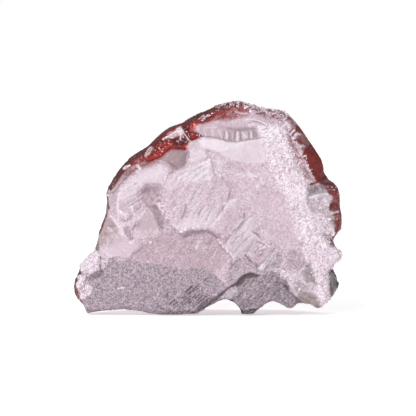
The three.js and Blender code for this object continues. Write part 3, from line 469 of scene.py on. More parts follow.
        (0.8, 0.9, 0, [(-10, 177), (32, 174), (54, 177), (58, 153), (32, 153), (6, 164), (-8, 166)]),
        (0.6, 1, 0, [(-58, 107), (-74, 88), (-48, 87)]),
        (0.6, 1, 0, [(-37, 167), (-20, 165), (-22, 151), (-32, 146), (-48, 155)]),
        (0.8, 0.8, 0, [(-102, 69), (-88, 79), (-66, 72), (-80, 58), (-100, 59)]),
        (1.5, 0.7, 0, [(-68, 143), (-42, 153), (-38, 143), (-44, 125), (-52, 110), (-64, 115), (-70, 129)]),
        (0.6, 0.8, 0, [(-11, 182), (-12, 189), (8, 192), (49, 188), (54, 179), (32, 174)]),
        (0.8, 1, 0, [(-64, 158), (-60, 164), (-38, 185), (-12, 193), (-6, 179), (-20, 168), (-48, 157)]),
        (0.8, 0.7, 0, [(95, 47), (101, 51), (108, 35), (96, 25), (86, 26), (86, 34)]),
        (0.8, 0.8, 0, [(89, 22), (107, 21), (114, 15), (113, 4), (96, 12), (89, 12)]),
        (0.8, 0.3, 0, [(98, 127), (118, 128), (122, 115), (116, 103), (102, 103)]),
        (0.6, 1, 0, [(118, 39), (121, 47), (134, 31), (126, 15), (118, 29)]),
    ],
}
# and in lines: width in mm, amount and how mottled, with the lines that are alike
markLines = {
    # painted highlights along lit ridges and edges, with real white streaks among them
    "light": {
        (0.3, 0.5, 0): [[(-19, 109), (-16, 116)], [(-60, 108), (-54, 98), (-47, 87)], [(-32, 184), (-38, 183),
            (-41, 181)]],
        (0.3, 0.5, 0.3): [[(46, 151), (52, 147), (55, 141)], [(55, 147), (60, 141), (62, 133)], [(60, 151),
            (66, 145)]],
        (0.3, 0.7, 0): [[(-31, 182), (-36, 178)], [(-62, 159), (-58, 162.5), (-55, 167)], [(-9, 196),
            (-4, 200)], [(-4, 197), (1, 200.5)]],
        (0.3, 0.7, 0.3): [[(-87, 125), (-74, 137)], [(-85, 121), (-69, 132)], [(-83, 118), (-67, 128)],
            [(-82, 114), (-66, 124)], [(-80, 110), (-66, 119)], [(-78, 107), (-66, 115)]],
        (0.3, 0.9, 0): [[(-98, 101), (-94, 96), (-90, 90), (-86, 83), (-81, 78)], [(-26, 185), (-22, 180),
            (-19, 175)], [(-27, 184), (-24, 178)], [(-62.5, 160), (-60, 165.5), (-56.5, 168.5)]],
        (0.5, 0.5, 0): [[(-8, 177), (4, 177), (18, 174), (32, 173), (44, 175), (54, 177)], [(14, 161),
            (26, 156), (38, 153), (56, 153)], [(-18, 174), (-21, 168), (-19, 162), (-22, 155)], [(12, 157),
            (10, 148)], [(-10, 97), (-5, 104), (-1, 110)], [(-3, 93), (2, 100), (6, 106)], [(122, 36),
            (126, 26)], [(126, 36), (130, 29)], [(-73, 92), (-68, 99), (-61, 107)], [(-49, 126), (-46, 122),
            (-44, 119)], [(-89, 100), (-90, 90)], [(35, 183), (35, 177)], [(42.5, 184), (43, 177)], [(58, 53),
            (65, 63)], [(64, 61), (69, 66)], [(-12, 67), (-9, 72)]],
        (0.5, 0.5, 0.3): [[(-33, 140), (-24, 145), (-14, 150)], [(-10, 133), (-2, 139), (3, 144)], [(28, 115),
            (34, 108), (38, 103)], [(-4, 65), (-1, 70)], [(4, 59), (8, 65)], [(14, 47), (20, 55), (24, 59)],
            [(30, 63), (38, 72), (44, 79)], [(50, 43), (58, 53), (64, 60)], [(-56, 110), (-52, 115),
            (-48, 118)], [(0, 93), (6, 101)], [(20, 69), (28, 78), (36, 85)], [(26, 69), (34, 77)], [(20, 75),
            (26, 81)], [(-40, 100), (-35, 92), (-28, 84), (-22, 85), (-12, 88), (-2, 88)], [(-36, 145),
            (-40, 135), (-43, 125), (-45, 115)], [(-15, 119), (-8, 126)], [(-99, 78), (-101, 69), (-104, 63)],
            [(-108, 70), (-104, 63), (-102, 58)], [(-96, 124), (-92, 128), (-86, 135)], [(-101, 122),
            (-97, 124)], [(-4, 186), (-2, 180)], [(11, 185), (13, 178)], [(19, 183), (19.5, 176)], [(-3, 187),
            (8, 188)], [(110, 129), (113, 125)]],
        (0.5, 0.7, 0): [[(3, 89), (10, 97), (16, 105), (19, 112)], [(-88, 87), (-82, 80), (-79, 77)],
            [(54, 47), (60, 53)], [(42, 17), (46, 22)], [(-89, 26), (-85, 29)]],
        (0.5, 0.7, 0.3): [[(2, 157), (5, 151), (8, 145)], [(10, 77), (15, 70), (21, 64), (25, 58)],
            [(-12, 68), (-9, 73), (-7, 75)], [(24, 75), (30, 82), (35, 88)], [(44, 83), (50, 77), (56, 74)],
            [(44, 150), (48, 153)], [(79, 35), (84, 29), (88, 24)], [(-67, 132), (-64, 127)], [(-67, 117),
            (-65, 112), (-66, 108)], [(-84, 146), (-78, 150)], [(-22, 164), (-19, 169), (-17, 174)],
            [(38, 196), (48, 195), (58, 191)], [(40, 189), (46, 191)], [(28, 203), (40, 201)], [(122, 101),
            (130, 104)], [(83, 39), (90, 42), (96, 48)]],
        (0.5, 0.9, 0): [[(-25, 135), (-15, 141), (-5, 148), (3, 152)], [(18.5, 183), (19, 177)], [(35, 182),
            (38, 178)], [(43, 182), (43.5, 178)], [(17, 112), (22, 115), (28, 115.5)], [(-28, 187),
            (-27, 181), (-27, 176)], [(-30, 185), (-36, 181), (-45, 176)], [(29, 184), (29, 175)], [(75, 195),
            (78, 197)], [(79, 182), (83, 186)], [(82, 180), (86, 185)], [(86, 180.5), (89, 181.5),
            (92, 180.5)]],
        (0.5, 0.9, 0.3): [[(29, 141), (35, 142)], [(36, 139.5), (40, 141), (42, 143.5)], [(42, 138.5),
            (48, 139.5)], [(32, 85), (38, 93), (43, 98)], [(54, 135), (55, 131)], [(74, 189), (78, 191),
            (80, 187)], [(87, 170.5), (89, 167)], [(95, 35), (98, 31), (104, 32)]],
        (0.8, 0.5, 0.3): [[(-99, 87), (-96, 85)], [(-70, 131), (-64, 128)], [(4, 185), (5, 179)]],
        (0.8, 0.7, 0): [[(23, 83), (29, 89), (35, 96)]],
        (0.8, 0.7, 0.3): [[(11, 169), (18, 168), (23, 170)], [(-89, 99), (-90, 113), (-88, 123)]],
        (0.8, 0.9, 0): [[(-29, 137), (-22, 142), (-14, 147), (-5, 152), (2, 155)], [(-14, 135), (-7, 140),
            (0, 145)], [(47.5, 129), (50, 129.5)], [(-76, 109), (-74, 103), (-72, 100)], [(101, 118),
            (108, 120), (114, 122), (119, 121)], [(116, 116), (118, 113), (120, 110)], [(51, 47), (56, 55),
            (62, 64)]],
        (0.8, 0.9, 0.3): [[(-88, 103), (-83, 101), (-80, 102), (-82, 97)], [(-45, 149), (-40, 143),
            (-42, 137)], [(-70, 150), (-67, 146), (-71, 144)]],
    },
    "redBrown": {
        (0.5, 0.7, 0): [[(81, 182), (84, 186)], [(84, 180), (87, 185)]],
        (0.5, 0.7, 0.3): [[(81, 179), (84, 171), (89, 163), (95, 152)]],
        (0.8, 0.9, 0): [[(-104, 95), (-106, 89), (-109, 82)]],
        (0.8, 0.9, 0.3): [[(102, 131), (106, 132), (111, 135)]],
    },
    "red": {
        (0.5, 0.9, 0.3): [[(14, 196), (24, 201), (32, 205)]],
    },
    "glow": {
        (0.5, 0.5, 0.3): [[(-16, 181), (-13, 178)], [(-52, 158), (-44, 164)], [(-49, 178), (-41, 185),
            (-32, 188.5)]],
        (0.8, 0.5, 0): [[(-61, 156), (-56, 158), (-52, 160)], [(-51, 163), (-45, 166), (-38, 169)]],
    },
    "deep": {
        (0.5, 0.5, 0): [[(-58, 158), (-52, 164), (-44, 169)]],
        (0.5, 0.5, 0.3): [[(-8, 193), (0, 197), (6, 199)], [(-26, 184), (-22, 179)]],
        (0.8, 0.5, 0): [[(-58, 169), (-50, 174), (-42, 175)]],
        (0.8, 0.7, 0.3): [[(-22, 185), (-19, 179), (-16, 176)]],
    },
    "skin": {
        (0.3, 0.5, 0.3): [[(95, 179), (101, 173), (106, 167)], [(92, 176), (98, 169), (103, 163)]],
        (0.5, 0.5, 0.3): [[(114, 129), (119, 126), (122, 121)], [(134, 65), (136, 61), (134, 56)]],
        (0.5, 0.7, 0.3): [[(-100, 107), (-102, 99), (-104, 93)], [(122, 123), (128, 125), (134, 123)],
            [(122, 101), (128, 101), (135, 99)], [(124, 95), (132, 94)]],
        (0.8, 0.9, 0): [[(-101, 118), (-100, 112), (-99.5, 107)]],
    },
    # painted shade along edges and cracks, with real dark lines among it; scratches are added to this mask
    # too
    "dark": {
        (0.3, 0.6, 0): [[(16, 184), (16, 177)], [(21, 183), (21.5, 175)], [(40.5, 183), (40.5, 176)]],
        (0.3, 0.3, 0.3): [[(-85, 123), (-69, 134)], [(-82, 116), (-66, 126)], [(-79, 109), (-65, 117)]],
        (0.3, 0.5, 0): [[(-13, 125), (-16, 117), (-19, 111)], [(-5, 109), (-8, 103), (-10, 98)], [(3, 107),
            (0, 101), (-2, 96)], [(15, 109), (11, 103), (8, 98)], [(100, 19), (108, 17), (112, 13)],
            [(92, 19), (98, 16), (102, 12)], [(120, 37), (126, 27)], [(-5, 179), (4, 179), (14, 176),
            (24, 174), (32, 174), (42, 175.5), (52, 177.5)]],
        (0.3, 0.5, 0.3): [[(22, 71), (29, 78), (36, 84)], [(28, 67), (35, 74), (42, 81)], [(50, 49), (56, 57),
            (62, 65)], [(62, 51), (68, 59), (72, 64)], [(46, 63), (50, 68), (56, 72)], [(56, 25), (50, 17)],
            [(36, 25), (30, 19)], [(80, 183), (86, 187)], [(81, 178), (88, 184)], [(48, 202), (54, 198),
            (60, 196)], [(44, 194), (52, 192), (58, 189)], [(20, 198), (32, 203)], [(58, 24), (64, 30)]],
        (0.5, 0.3, 0): [[(23, 183), (23, 175)], [(3, 154), (5, 147), (7, 140)]],
        (0.5, 0.3, 0.3): [[(-4, 74), (1, 71), (4, 76)], [(-19, 144), (-6, 150)], [(95, 53), (98, 49),
            (102, 53)]],
        (0.5, 0.5, 0): [[(-52, 5), (-51, 9), (-47, 10)], [(121, 45), (126, 39), (132, 31)], [(26.5, 184),
            (26.5, 174)], [(32, 184), (32, 176)], [(22, 48), (27, 54), (32, 57.5)], [(37, 61), (41, 57),
            (43, 55)], [(126, 45), (134, 31), (130, 25)], [(-40, 24), (-40, 17)]],
        (0.5, 0.5, 0.3): [[(-50, 114), (-45, 107), (-41, 101), (-37, 95)], [(24, 84), (30, 89), (35, 95)],
            [(44, 85), (50, 81), (54, 75)], [(50, 74), (56, 72), (62, 71)], [(54, 53), (62, 63), (66, 68)],
            [(18, 65), (24, 57), (23, 51)], [(12, 71), (18, 63)], [(72, 32), (68, 25), (64, 19)], [(72, 19),
            (76, 13), (82, 10)], [(76, 24), (80, 19), (84, 15)], [(48, 19), (42, 12), (38, 8)], [(0, 84),
            (8, 80), (9, 77)], [(73, 32), (70, 27), (66, 23)], [(81, 25), (84, 21), (88, 18), (88, 13)],
            [(-76, 4), (-58, 1), (-28, 0), (-8, 1)], [(-124, 5), (-112, 4), (-96, 4), (-82, 6)], [(-112, 51),
            (-116, 49)], [(-128, 26), (-122, 31), (-116, 33)], [(-110, 83), (-111, 77)], [(69, 49), (74, 48),
            (80, 43)], [(50, 65), (58, 67), (63, 72)], [(-53, 5), (-50, 9), (-47, 7)], [(42, 18), (46, 23)]],
        (0.8, 0.4, 0): [[(-21, 111), (-23, 104), (-25.5, 98)]],
        (0.5, 0.7, 0.3): [[(-12, 182), (-9, 180), (-5, 179)], [(-108, 59), (-108, 47), (-105, 43)]],
        (0.5, 0.9, 0): [[(38, 5), (44, 6.5), (52, 6)], [(74, 9), (82, 5), (88, 7), (90, 12)]],
        (0.8, 0.3, 0.3): [[(103, 116), (114, 117)]],
        (0.8, 0.7, 0): [[(23, 30), (29, 32), (35, 34)]],
        (0.8, 0.9, 0): [[(-128, 42), (-131, 36), (-133, 30), (-133.5, 26)], [(-8, 2), (-2, 6), (6, 12),
            (14, 15), (24, 15), (30, 9), (35, 3)]],
    },
    "druse": {
        (0.5, 1.2, 0.3): [[(10, 77), (16, 69), (21, 63), (25, 58)], [(-8, 194), (-2, 198), (3, 201)],
            [(-12, 180), (-5, 178)], [(-98, 124), (-101, 119)], [(74, 191), (78, 193), (81, 188)], [(-86, 84),
            (-81, 77)], [(66, 45), (72, 47), (78, 42)], [(82, 39), (90, 42), (95, 47)], [(-89, 26),
            (-85, 28)], [(-52, 7), (-46, 6)]],
        (0.5, 2, 0.3): [[(-70, 149), (-67, 146)], [(-83, 147), (-78, 150)], [(-45, 149), (-41, 143),
            (-41, 137)], [(-88, 104), (-83, 102), (-79, 101), (-82, 97)], [(-76, 107), (-73, 101)], [(8, 147),
            (11, 142), (16, 141)], [(29, 141), (40, 141), (49, 139)], [(46, 129), (50, 130)], [(53, 137),
            (55, 130)], [(17, 113), (23, 115), (29, 116)], [(-78, 74), (-72, 75)], [(-57, 73), (-53, 75)]],
        (0.9, 1.2, 0.3): [[(-34, 91), (-27, 85), (-22, 89), (-14, 87), (-4, 88)]],
        (0.9, 3, 0.3): [[(-50, 112), (-46, 106), (-41, 99), (-37, 91)]],
    },
}
# fine parallel steps of the break: which way in degrees, how strong, where
streaks = {
    "plate": {"angle": 62, "amount": 0.55, "outline": [(-42, 127), (-30, 143), (2, 157), (16, 135), (18, 110),
        (-3, 87), (-28, 85), (-40, 103)]},
    "middle": {"angle": 52, "amount": 0.8, "outline": [(14, 69), (37, 101), (56, 93), (46, 65), (24, 51)]},
    "hatchFacet": {"angle": 52, "amount": 1.0, "outline": [(49, 47), (62, 68), (73, 65), (70, 48)]},
    "footBlock": {"angle": 48, "amount": 1.0, "outline": [(14, 17), (42, 41), (82, 45), (88, 15), (32, 1)]},
    "foot": {"angle": 49, "amount": 0.6, "outline": [(-52, -1), (-3, 3), (4, 31), (-36, 27)]},
    "band": {"angle": 110, "amount": 0.8, "outline": [(50, 187), (76, 187), (92, 145), (120, 75), (120, 15),
        (109, 15), (82, 105)]},
    "redFace": {"angle": 48, "amount": 0.5, "outline": [(86, 188), (104, 175), (118, 145), (106, 137),
        (92, 165)]},
    "shoulder": {"angle": 37, "amount": 0.6, "outline": [(-90, 115), (-78, 135), (-60, 135), (-70, 109)]},
    "lowPink": {"angle": 60, "amount": 0.4, "outline": [(-72, 85), (-2, 83), (16, 65), (-8, 49), (-68, 59)]},
}
# fine scratches, all alike and one way: from where, so many steps right and up, and the rest in mm
scratches = {
    "right": 24, "up": 20, "width": 0.32, "amount": 0.9, "wander": 0.1, "gapSize": 1.8, "gaps": (-0.7, -0.1),
    "from": [(-46, 1), (-41, 1), (-37, 1), (-33, 1), (-28, 1), (-24, 1), (-19, 1), (-15, 2), (-10, 4),
        (-5, 7), (0, 11), (6, 15), (-38, 12), (-32, 16), (-25, 18)],
}


def wanderXZ(points, amount):  # the places on the front, uneven along their edges and more so down the sides
    s = stoneShape
    x = points[:, 0] + amount * roughNoise(points, s["wanderSize"], seed=31)
    z = points[:, 2] + amount * roughNoise(points, s["wanderSize"], seed=47)
    aside = s["sideWander"] * ramp(*s["sideZone"], points[:, 1])
    return x, z + aside * roughNoise(points, s["sideSize"], seed=59)


def faceHeight(points):  # mm that the broken face stands in front of the frame's middle
    s = stoneShape
    x, z = wanderXZ(points, s["wander"])
    curve = s["crown"] - s["sideDrop"] * x ** 2 - s["endDrop"] * (z - s["crownZ"]) ** 2
    height = curve.copy()
    for ledge in ledges.values():
        depth = depthInside(ledge["outline"], x, z)
        cx, cz = (sum(places) / len(places) * step for places in zip(*ledge["outline"]))
        tx, tz = ledge.get("tilt", (0, 0))
        bulge = 1.0
        if "round" in ledge:
            bulge = np.sqrt(1 - (1 - np.clip(depth / ledge["round"], 0, 1)) ** 2)
        level = curve + ledge["lift"] * bulge + tx * (x - cx) + tz * (z - cz)
        share = ramp(-ledge["edge"] / 2, ledge["edge"] / 2, depth)
        height = height * (1 - share) + level * share
    return height


def markAmount(name, points, reach=0.1):  # how much of one mark each point has, 0 to 1; the marks are finishes, painted shade and painted highlights
    s = stoneShape
    x, z = wanderXZ(points, s["markWander"])
    mottle = ramp(*s["mottle"], roughNoise(points, s["mottleSize"], seed=71, layers=2))
    total = np.zeros(len(points))
    for edge, amount, mottled, outline in markAreas[name]:
        share = ramp(-edge / 2, edge / 2, depthInside(outline, x, z))
        total = np.maximum(total, share * amount * (1 - mottled * mottle))
    for (width, amount, mottled), alike in markLines.get(name, {}).items():
        half = width / 2 * s["lineWidth"]
        for line in alike:
            share = ramp(-half - reach, -half + reach, depthInside(line, x, z, False))
            total = np.maximum(total, share * amount * (1 - mottled * mottle))
    return total


def streakAmount(points):  # -1 to 1
    s = stoneShape
    x, y, z = points.T
    total = np.zeros(len(points))
    for n, streak in enumerate(streaks.values()):
        turn = math.radians(streak["angle"])
        along = x * math.cos(turn) + z * math.sin(turn)
        across = z * math.cos(turn) - x * math.sin(turn)
        stretched = along / s["streakLength"], across / s["streakWidth"], y / s["streakDepth"]
        share = ramp(-s["streakEdge"], s["streakEdge"], depthInside(streak["outline"], x, z))
        rough = roughNoise(np.stack(stretched, axis=1), 1, seed=90 + n, layers=2)
        total += share * streak["amount"] * rough
    return np.clip(total, -1, 1)


def hatchAmount(points):  # 0 to 1, only in the streaks that run about as the hatching does
    s = stoneShape
    total = np.zeros(len(points))
    for streak in streaks.values():
        if abs(streak["angle"] - finish["hatchAngle"]) < s["hatchSpread"]:
            depth = depthInside(streak["outline"], points[:, 0], points[:, 2])
            total = np.maximum(total, ramp(-s["hatchEdge"], s["hatchEdge"], depth) * streak["amount"])
    return total


def scratchAmount(points):  # 0 to 1
    s = scratches
    x, z = wanderXZ(points, s["wander"])
    total = np.zeros(len(points))
    for a, b in s["from"]:
        away = -depthInside([(a, b), (a + s["right"], b + s["up"])], x, z, False)
        total = np.maximum(total, s["amount"] * ramp(s["width"], 0, away))
    return total * ramp(*s["gaps"], roughNoise(points, s["gapSize"], seed=83, layers=2))


def readVectors(piece, what):
    flat = np.empty(len(piece.data.vertices) * 3)
    piece.data.vertices.foreach_get(what, flat)
    return flat.reshape(-1, 3)


def readPoints(piece):  # in mm
    return readVectors(piece, "co") / mm


def readNormals(piece):
    return readVectors(piece, "normal")


def writePoints(piece, points):
    piece.data.vertices.foreach_set("co", (points * mm).ravel())
    piece.data.update()


def insideBox(points):  # nothing grows past the frame's own box
    low, high = np.array(cadBox) / mm
    return np.clip(points, low, high)


def makeActive(piece):
    bpy.ops.object.select_all(action="DESELECT")
    piece.select_set(True)
    bpy.context.view_layer.objects.active = piece


def editAll(piece):
    makeActive(piece)
    bpy.ops.object.mode_set(mode="EDIT")
    bpy.ops.mesh.select_all(action="SELECT")


def voxelRemesh(piece, size):
    makeActive(piece)
    modifier = piece.modifiers.new("remesh", "REMESH")
    modifier.mode = "VOXEL"
    modifier.voxel_size = size * mm
    bpy.ops.object.modifier_apply(modifier=modifier.name)


def edgeDistance(points):  # mm inwards from the stone's outline, as seen from the front
    rim = points[np.abs(points[:, 1] - stoneShape["waist"]) < stoneShape["waistBand"]]
    tree = kdtree.KDTree(len(rim))
    for n, p in enumerate(rim):
        tree.insert((p[0], 0, p[2]), n)
    tree.balance()
    return np.array([tree.find((p[0], 0, p[2]))[2] for p in points])


def pressFace(stone, seat=None):  # moves the front of the stone to the ledges
    s = stoneShape
    points = readPoints(stone)
    inward = edgeDistance(points)
    height = faceHeight(points)
    ahead = points[:, 1] < s["waist"] - s["frontGap"]
    if seat is None:
        flat = ahead & (inward > s["flatInside"]) & (readNormals(stone)[:, 1] < s["flatNormal"])
        seat = np.median(points[flat, 1] + height[flat])
    share = np.where(ahead, ramp(*s["rim"], inward), 0)
    points[:, 1] = points[:, 1] * (1 - share) + (seat - height) * share
    writePoints(stone, points)
    return seat


def buildStone():
    s = stoneShape
    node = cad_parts["red_quartz"]
    stone = bpy.data.objects.new("quartz_stone", node.data.copy())
    bpy.context.scene.collection.objects.link(stone)
    stone.data.materials.clear()
    editAll(stone)
    bpy.ops.mesh.remove_doubles(threshold=s["merge"] * mm)
    bpy.ops.object.mode_set(mode="OBJECT")
    voxelRemesh(stone, s["firstVoxel"])
    seat = pressFace(stone)
    voxelRemesh(stone, s["lastVoxel"])
    pressFace(stone, seat)
    print("stone remeshed,", len(stone.data.polygons), "faces, seat", round(seat, 2))
    return stone


stoneCoat = {  # where the grown skin and the bare places lie: mm, and shares of 1
    "front": (-5.6, -4.2), "foot": (7.5, 9.5), "ragged": 4, "raggedSize": 9,
    "chips": 2.2, "chipSize": 2.4, "chipShare": (-0.2, 0.8),
    "marks": (-3.6, -5.4),  # the marks of the broken face end here
    "bare": (3.6, 2.0), "bareWander": 1.6, "bareSize": 2.6,
    "leftLess": 4.5, "left": (5, -5), "topLess": 3, "top": (38, 42),  # less far back at the left and its top
    "turned": (-0.62, -0.48), "turnedRim": (1.8, 0.9), "turnedAbove": (30, 32), "turnedLeft": (8, 5),
    "scuffRounds": 6, "scuffSize": 1.6, "scuffShare": (-0.2, 0.5), "scuffBehind": (-4, -2),
}


def coatAmount(points):  # how much of the grown skin is left on the sides and the back, 0 to 1
    s = stoneCoat
    ragged = points[:, 2] + s["ragged"] * roughNoise(points, s["raggedSize"], seed=61)
    return ramp(*s["front"], points[:, 1] - chipping(points)) * ramp(*s["foot"], ragged)


def chipping(points):  # mm that the break bites into the skin behind the front's edge
    s = stoneCoat
    return s["chips"] * ramp(*s["chipShare"], roughNoise(points, s["chipSize"], seed=53))


stoneWear = {  # of the grown faces: mm, and shares of 1
    "rounds": 30, "smooth": 0.5, "behind": (-4, -1), "above": (0.3, 1.5),
    "wave": 0.3, "waveSize": 7, "waveShare": (-0.8, 0.8),
    "hackle": 0.5, "hackleSize": 2.6, "hackleLean": 0.6, "hackleLevel": 0.2,
    "chip": 0.7, "chipSize": 2.4, "chipShare": (-0.1, 0.5), "edgeRounds": 40, "edgeTurn": (0.01, 0.1),
}


def edgeAmount(piece, rounds):  # 0 on flat ground, 1 along sharp edges
    links = np.empty(len(piece.data.edges) * 2, np.int32)
    piece.data.edges.foreach_get("vertices", links)
    first, second = links[0::2], links[1::2]
    values = readNormals(piece)
    count = np.bincount(links, minlength=len(values))
    for _ in range(rounds):
        for axis in range(3):
            column = values[:, axis].copy()
            total = np.bincount(first, column[second], len(values))
            total += np.bincount(second, column[first], len(values))
            values[:, axis] = (column + total / np.maximum(count, 1)) / 2
    return ramp(*stoneWear["edgeTurn"], 1 - np.linalg.norm(values, axis=1))


def selectSide(stone, behind):  # selects the faces before or behind the waist and opens them for editing
    makeActive(stone)
    centers = np.empty(len(stone.data.polygons) * 3)
    stone.data.polygons.foreach_get("center", centers)
    chosen = (centers[1::3] / mm > stoneShape["waist"] + stoneShape["backGap"]) == behind
    bpy.ops.object.mode_set(mode="EDIT")
    bpy.ops.mesh.select_mode(type="FACE")
    bpy.ops.mesh.select_all(action="DESELECT")
    bpy.ops.object.mode_set(mode="OBJECT")
    stone.data.polygons.foreach_set("select", chosen)
    bpy.ops.object.mode_set(mode="EDIT")
    return chosen


def wearBack(stone):  # rounds, waves and chips the grown faces, and breaks up what has lost its skin
    s = stoneWear
    selectSide(stone, True)
    bpy.ops.mesh.vertices_smooth(factor=s["smooth"], repeat=s["rounds"])
    bpy.ops.object.mode_set(mode="OBJECT")
    points, normals = readPoints(stone), readNormals(stone)
    behind = ramp(*s["behind"], points[:, 1]) * ramp(*s["above"], points[:, 2])
    lift = -s["wave"] * ramp(*s["waveShare"], roughNoise(points, s["waveSize"], seed=19))
    broken = facets(points, s["hackleSize"], seed=57, lean=s["hackleLean"]) - s["hackleLevel"]
    lift += (1 - coatAmount(points)) * s["hackle"] * broken
    spots = ramp(*s["chipShare"], roughNoise(points, s["chipSize"], seed=67, layers=2))
    lift -= s["chip"] * edgeAmount(stone, s["edgeRounds"]) * spots
    writePoints(stone, points + normals * (lift * behind)[:, None])
    print("back worn")


stoneRelief = {  # mm that the small forms stand out, and their sizes
    "front": (-4, -6), "foot": (0.15, 0.6), "crystalPush": 0.6, "crystalEdge": 1,
    "wave": 0.05, "waveSize": 1.2,
    "crust": 0.34, "crustSize": 0.9, "clump": 0.3, "clumpSize": 2.0, "clumpLean": 0.6,
    "grain": 0.06, "coatGrain": 0.04, "roughGrain": 0.07, "greyGrain": 0.05, "grainSize": 0.55,
    "shell": 0.16, "shellSize": 3.0, "shellLean": 0.5, "streak": 0.13,
    "light": 0.12, "dark": 0.22, "scratch": 0.12, "lineReach": 0.2,
}


def dressStone(stone):  # grain, crust, shell-shaped steps, streaks and scratches on the broken face
    s = stoneRelief
    points, normals = readPoints(stone), readNormals(stone)
    ahead = ramp(*s["front"], points[:, 1])
    white = markAmount("white", points) * ahead
    grey = markAmount("grey", points) * ahead
    smooth = np.maximum(markAmount("smooth", points), markAmount("redBrown", points)) * ahead
    rough = ahead * (1 - smooth)
    crystal = depthInside(ledges["greyCrystal"]["outline"], points[:, 0], points[:, 2])
    points[:, 0] += s["crystalPush"] * ramp(-s["crystalEdge"], s["crystalEdge"], crystal)
    lift = s["wave"] * roughNoise(points, s["waveSize"], seed=3)
    crust = s["crust"] * facets(points, s["crustSize"], seed=11)
    lift += white * (crust + s["clump"] * facets(points, s["clumpSize"], seed=13, lean=s["clumpLean"]))
    grain = s["grain"] - s["coatGrain"] * coatAmount(points) + s["roughGrain"] * rough + s["greyGrain"] * grey
    lift += grain * facets(points, s["grainSize"], seed=23)
    shells = s["shell"] * facets(points, s["shellSize"], seed=41, lean=s["shellLean"])
    lift += ahead * rough * (shells + s["streak"] * streakAmount(points))
    lift += s["light"] * markAmount("light", points, s["lineReach"]) * ahead
    dark = s["dark"] * markAmount("dark", points, s["lineReach"])
    lift -= (dark + s["scratch"] * scratchAmount(points)) * ahead
    keep = ramp(*s["foot"], points[:, 2])  # the foot stays flat
    points += normals * (lift * keep)[:, None]
    writePoints(stone, insideBox(points))
    print("stone dressed")


def thinOut(stone):  # fewer triangles, and fewest on the back
    editAll(stone)
    bpy.ops.mesh.quads_convert_to_tris()
    bpy.ops.object.mode_set(mode="OBJECT")
    for behind, most in ((True, stoneShape["backTriangles"]), (False, stoneShape["frontTriangles"])):
        chosen = selectSide(stone, behind)
        bpy.ops.mesh.decimate(ratio=min(1, most / chosen.sum()))
        bpy.ops.object.mode_set(mode="OBJECT")
    print("stone thinned,", len(stone.data.polygons), "triangles")


def paintMarks(stone):  # one mask for each finish and for the painted shade and highlights, kept with the mesh
    s = stoneCoat
    points = readPoints(stone)
    x, y, z = points.T
    ahead = ramp(*s["marks"], y - chipping(points))
    back = y + s["bareWander"] * roughNoise(points, s["bareSize"], seed=53)
    back += (s["leftLess"] + s["topLess"] * ramp(*s["top"], z)) * ramp(*s["left"], x)
    bare = markAmount("bare", points) * ramp(*s["bare"], back)
    turned = ramp(*s["turned"], readNormals(stone)[:, 1]) * ramp(*s["turnedAbove"], z)  # the upper left rim
    turned *= ramp(*s["turnedRim"], edgeDistance(points)) * ramp(*s["turnedLeft"], x)
    coat = np.maximum(coatAmount(points), turned) * (1 - bare)
    ahead = np.maximum(ahead, bare)
    for name in markAreas:
        amount = markAmount(name, points) * ahead
        if name == "skin":
            amount = np.maximum(amount, coat)
        if name == "dark":
            amount = np.maximum(amount, scratchAmount(points) * ahead)
        if name in finish["strong"]:  # a thin dark film already hides the pale stone
            amount = amount * (2 - amount)
        saveMask(stone, name, amount)
    saveMask(stone, "rust", np.maximum(markAmount("skin", points), markAmount("redBrown", points)))
    saveMask(stone, "streak", 0.5 + 0.5 * streakAmount(points) * ahead)
    saveMask(stone, "hatch", hatchAmount(points) * ahead)
    spots = ramp(*s["scuffShare"], roughNoise(points, s["scuffSize"], seed=97))
    worn = edgeAmount(stone, s["scuffRounds"]) * spots
    saveMask(stone, "scuff", worn * ramp(*s["scuffBehind"], y))
    print("marks painted")


def saveMask(piece, name, values):
    layer = piece.data.attributes.new(name, "FLOAT", "POINT")
    layer.data.foreach_set("value", values.astype(np.float32))


crystalShape = {  # mm, and shares of 1
    "points": 2900, "blocks": 3300, "seed": 5, "upright": 0.9,
    "front": (-3.0, -5.0), "foot": (0.2, 0.8), "lean": 0.5, "sink": 0.4,
    "toneBias": 1.5, "rustShare": (0.2, 1),
    "radius": (0.09, 0.24), "flatten": (0.7, 1), "stretch": (1.5, 3.0),
    "blockSize": (0.14, 0.62), "blockStretch": (0.7, 1.5),
    "sides": 6, "body": 0.7, "tipMove": (0.08, 0, 0.3), "tipScale": (0.12, 0.3, 1),
    "cuts": (  # a place on each cut through a block, and the way that the cut faces
        ((0.3, 0.2, 0.2), (1, 0.8, 0.9)), ((-0.2, 0.3, 0.3), (-0.9, 0.7, 1)),
        ((0.1, -0.35, 0.3), (0.3, -1, 0.9)), ((-0.3, -0.3, 0.1), (-1, -0.8, 0.2))),
}


def makePoint():  # one small crystal, a six-sided prism with a tip, 1 across and 1 high
    s = crystalShape
    bpy.ops.object.select_all(action="DESELECT")
    bpy.ops.mesh.primitive_cylinder_add(vertices=s["sides"], radius=0.5, depth=s["body"],
                                        location=(0, 0, s["body"] / 2))
    bpy.ops.object.transform_apply(location=True)
    bpy.ops.object.mode_set(mode="EDIT")
    bpy.ops.mesh.select_all(action="DESELECT")
    bpy.ops.object.mode_set(mode="OBJECT")
    point = bpy.context.object
    for face in point.data.polygons:
        face.select = face.normal.z > s["upright"]
    bpy.ops.object.mode_set(mode="EDIT")
    bpy.ops.mesh.extrude_region_move(TRANSFORM_OT_translate={"value": s["tipMove"]})
    bpy.ops.transform.resize(value=s["tipScale"])
    bpy.ops.mesh.select_all(action="SELECT")
    bpy.ops.mesh.quads_convert_to_tris()
    bpy.ops.object.mode_set(mode="OBJECT")
    return point


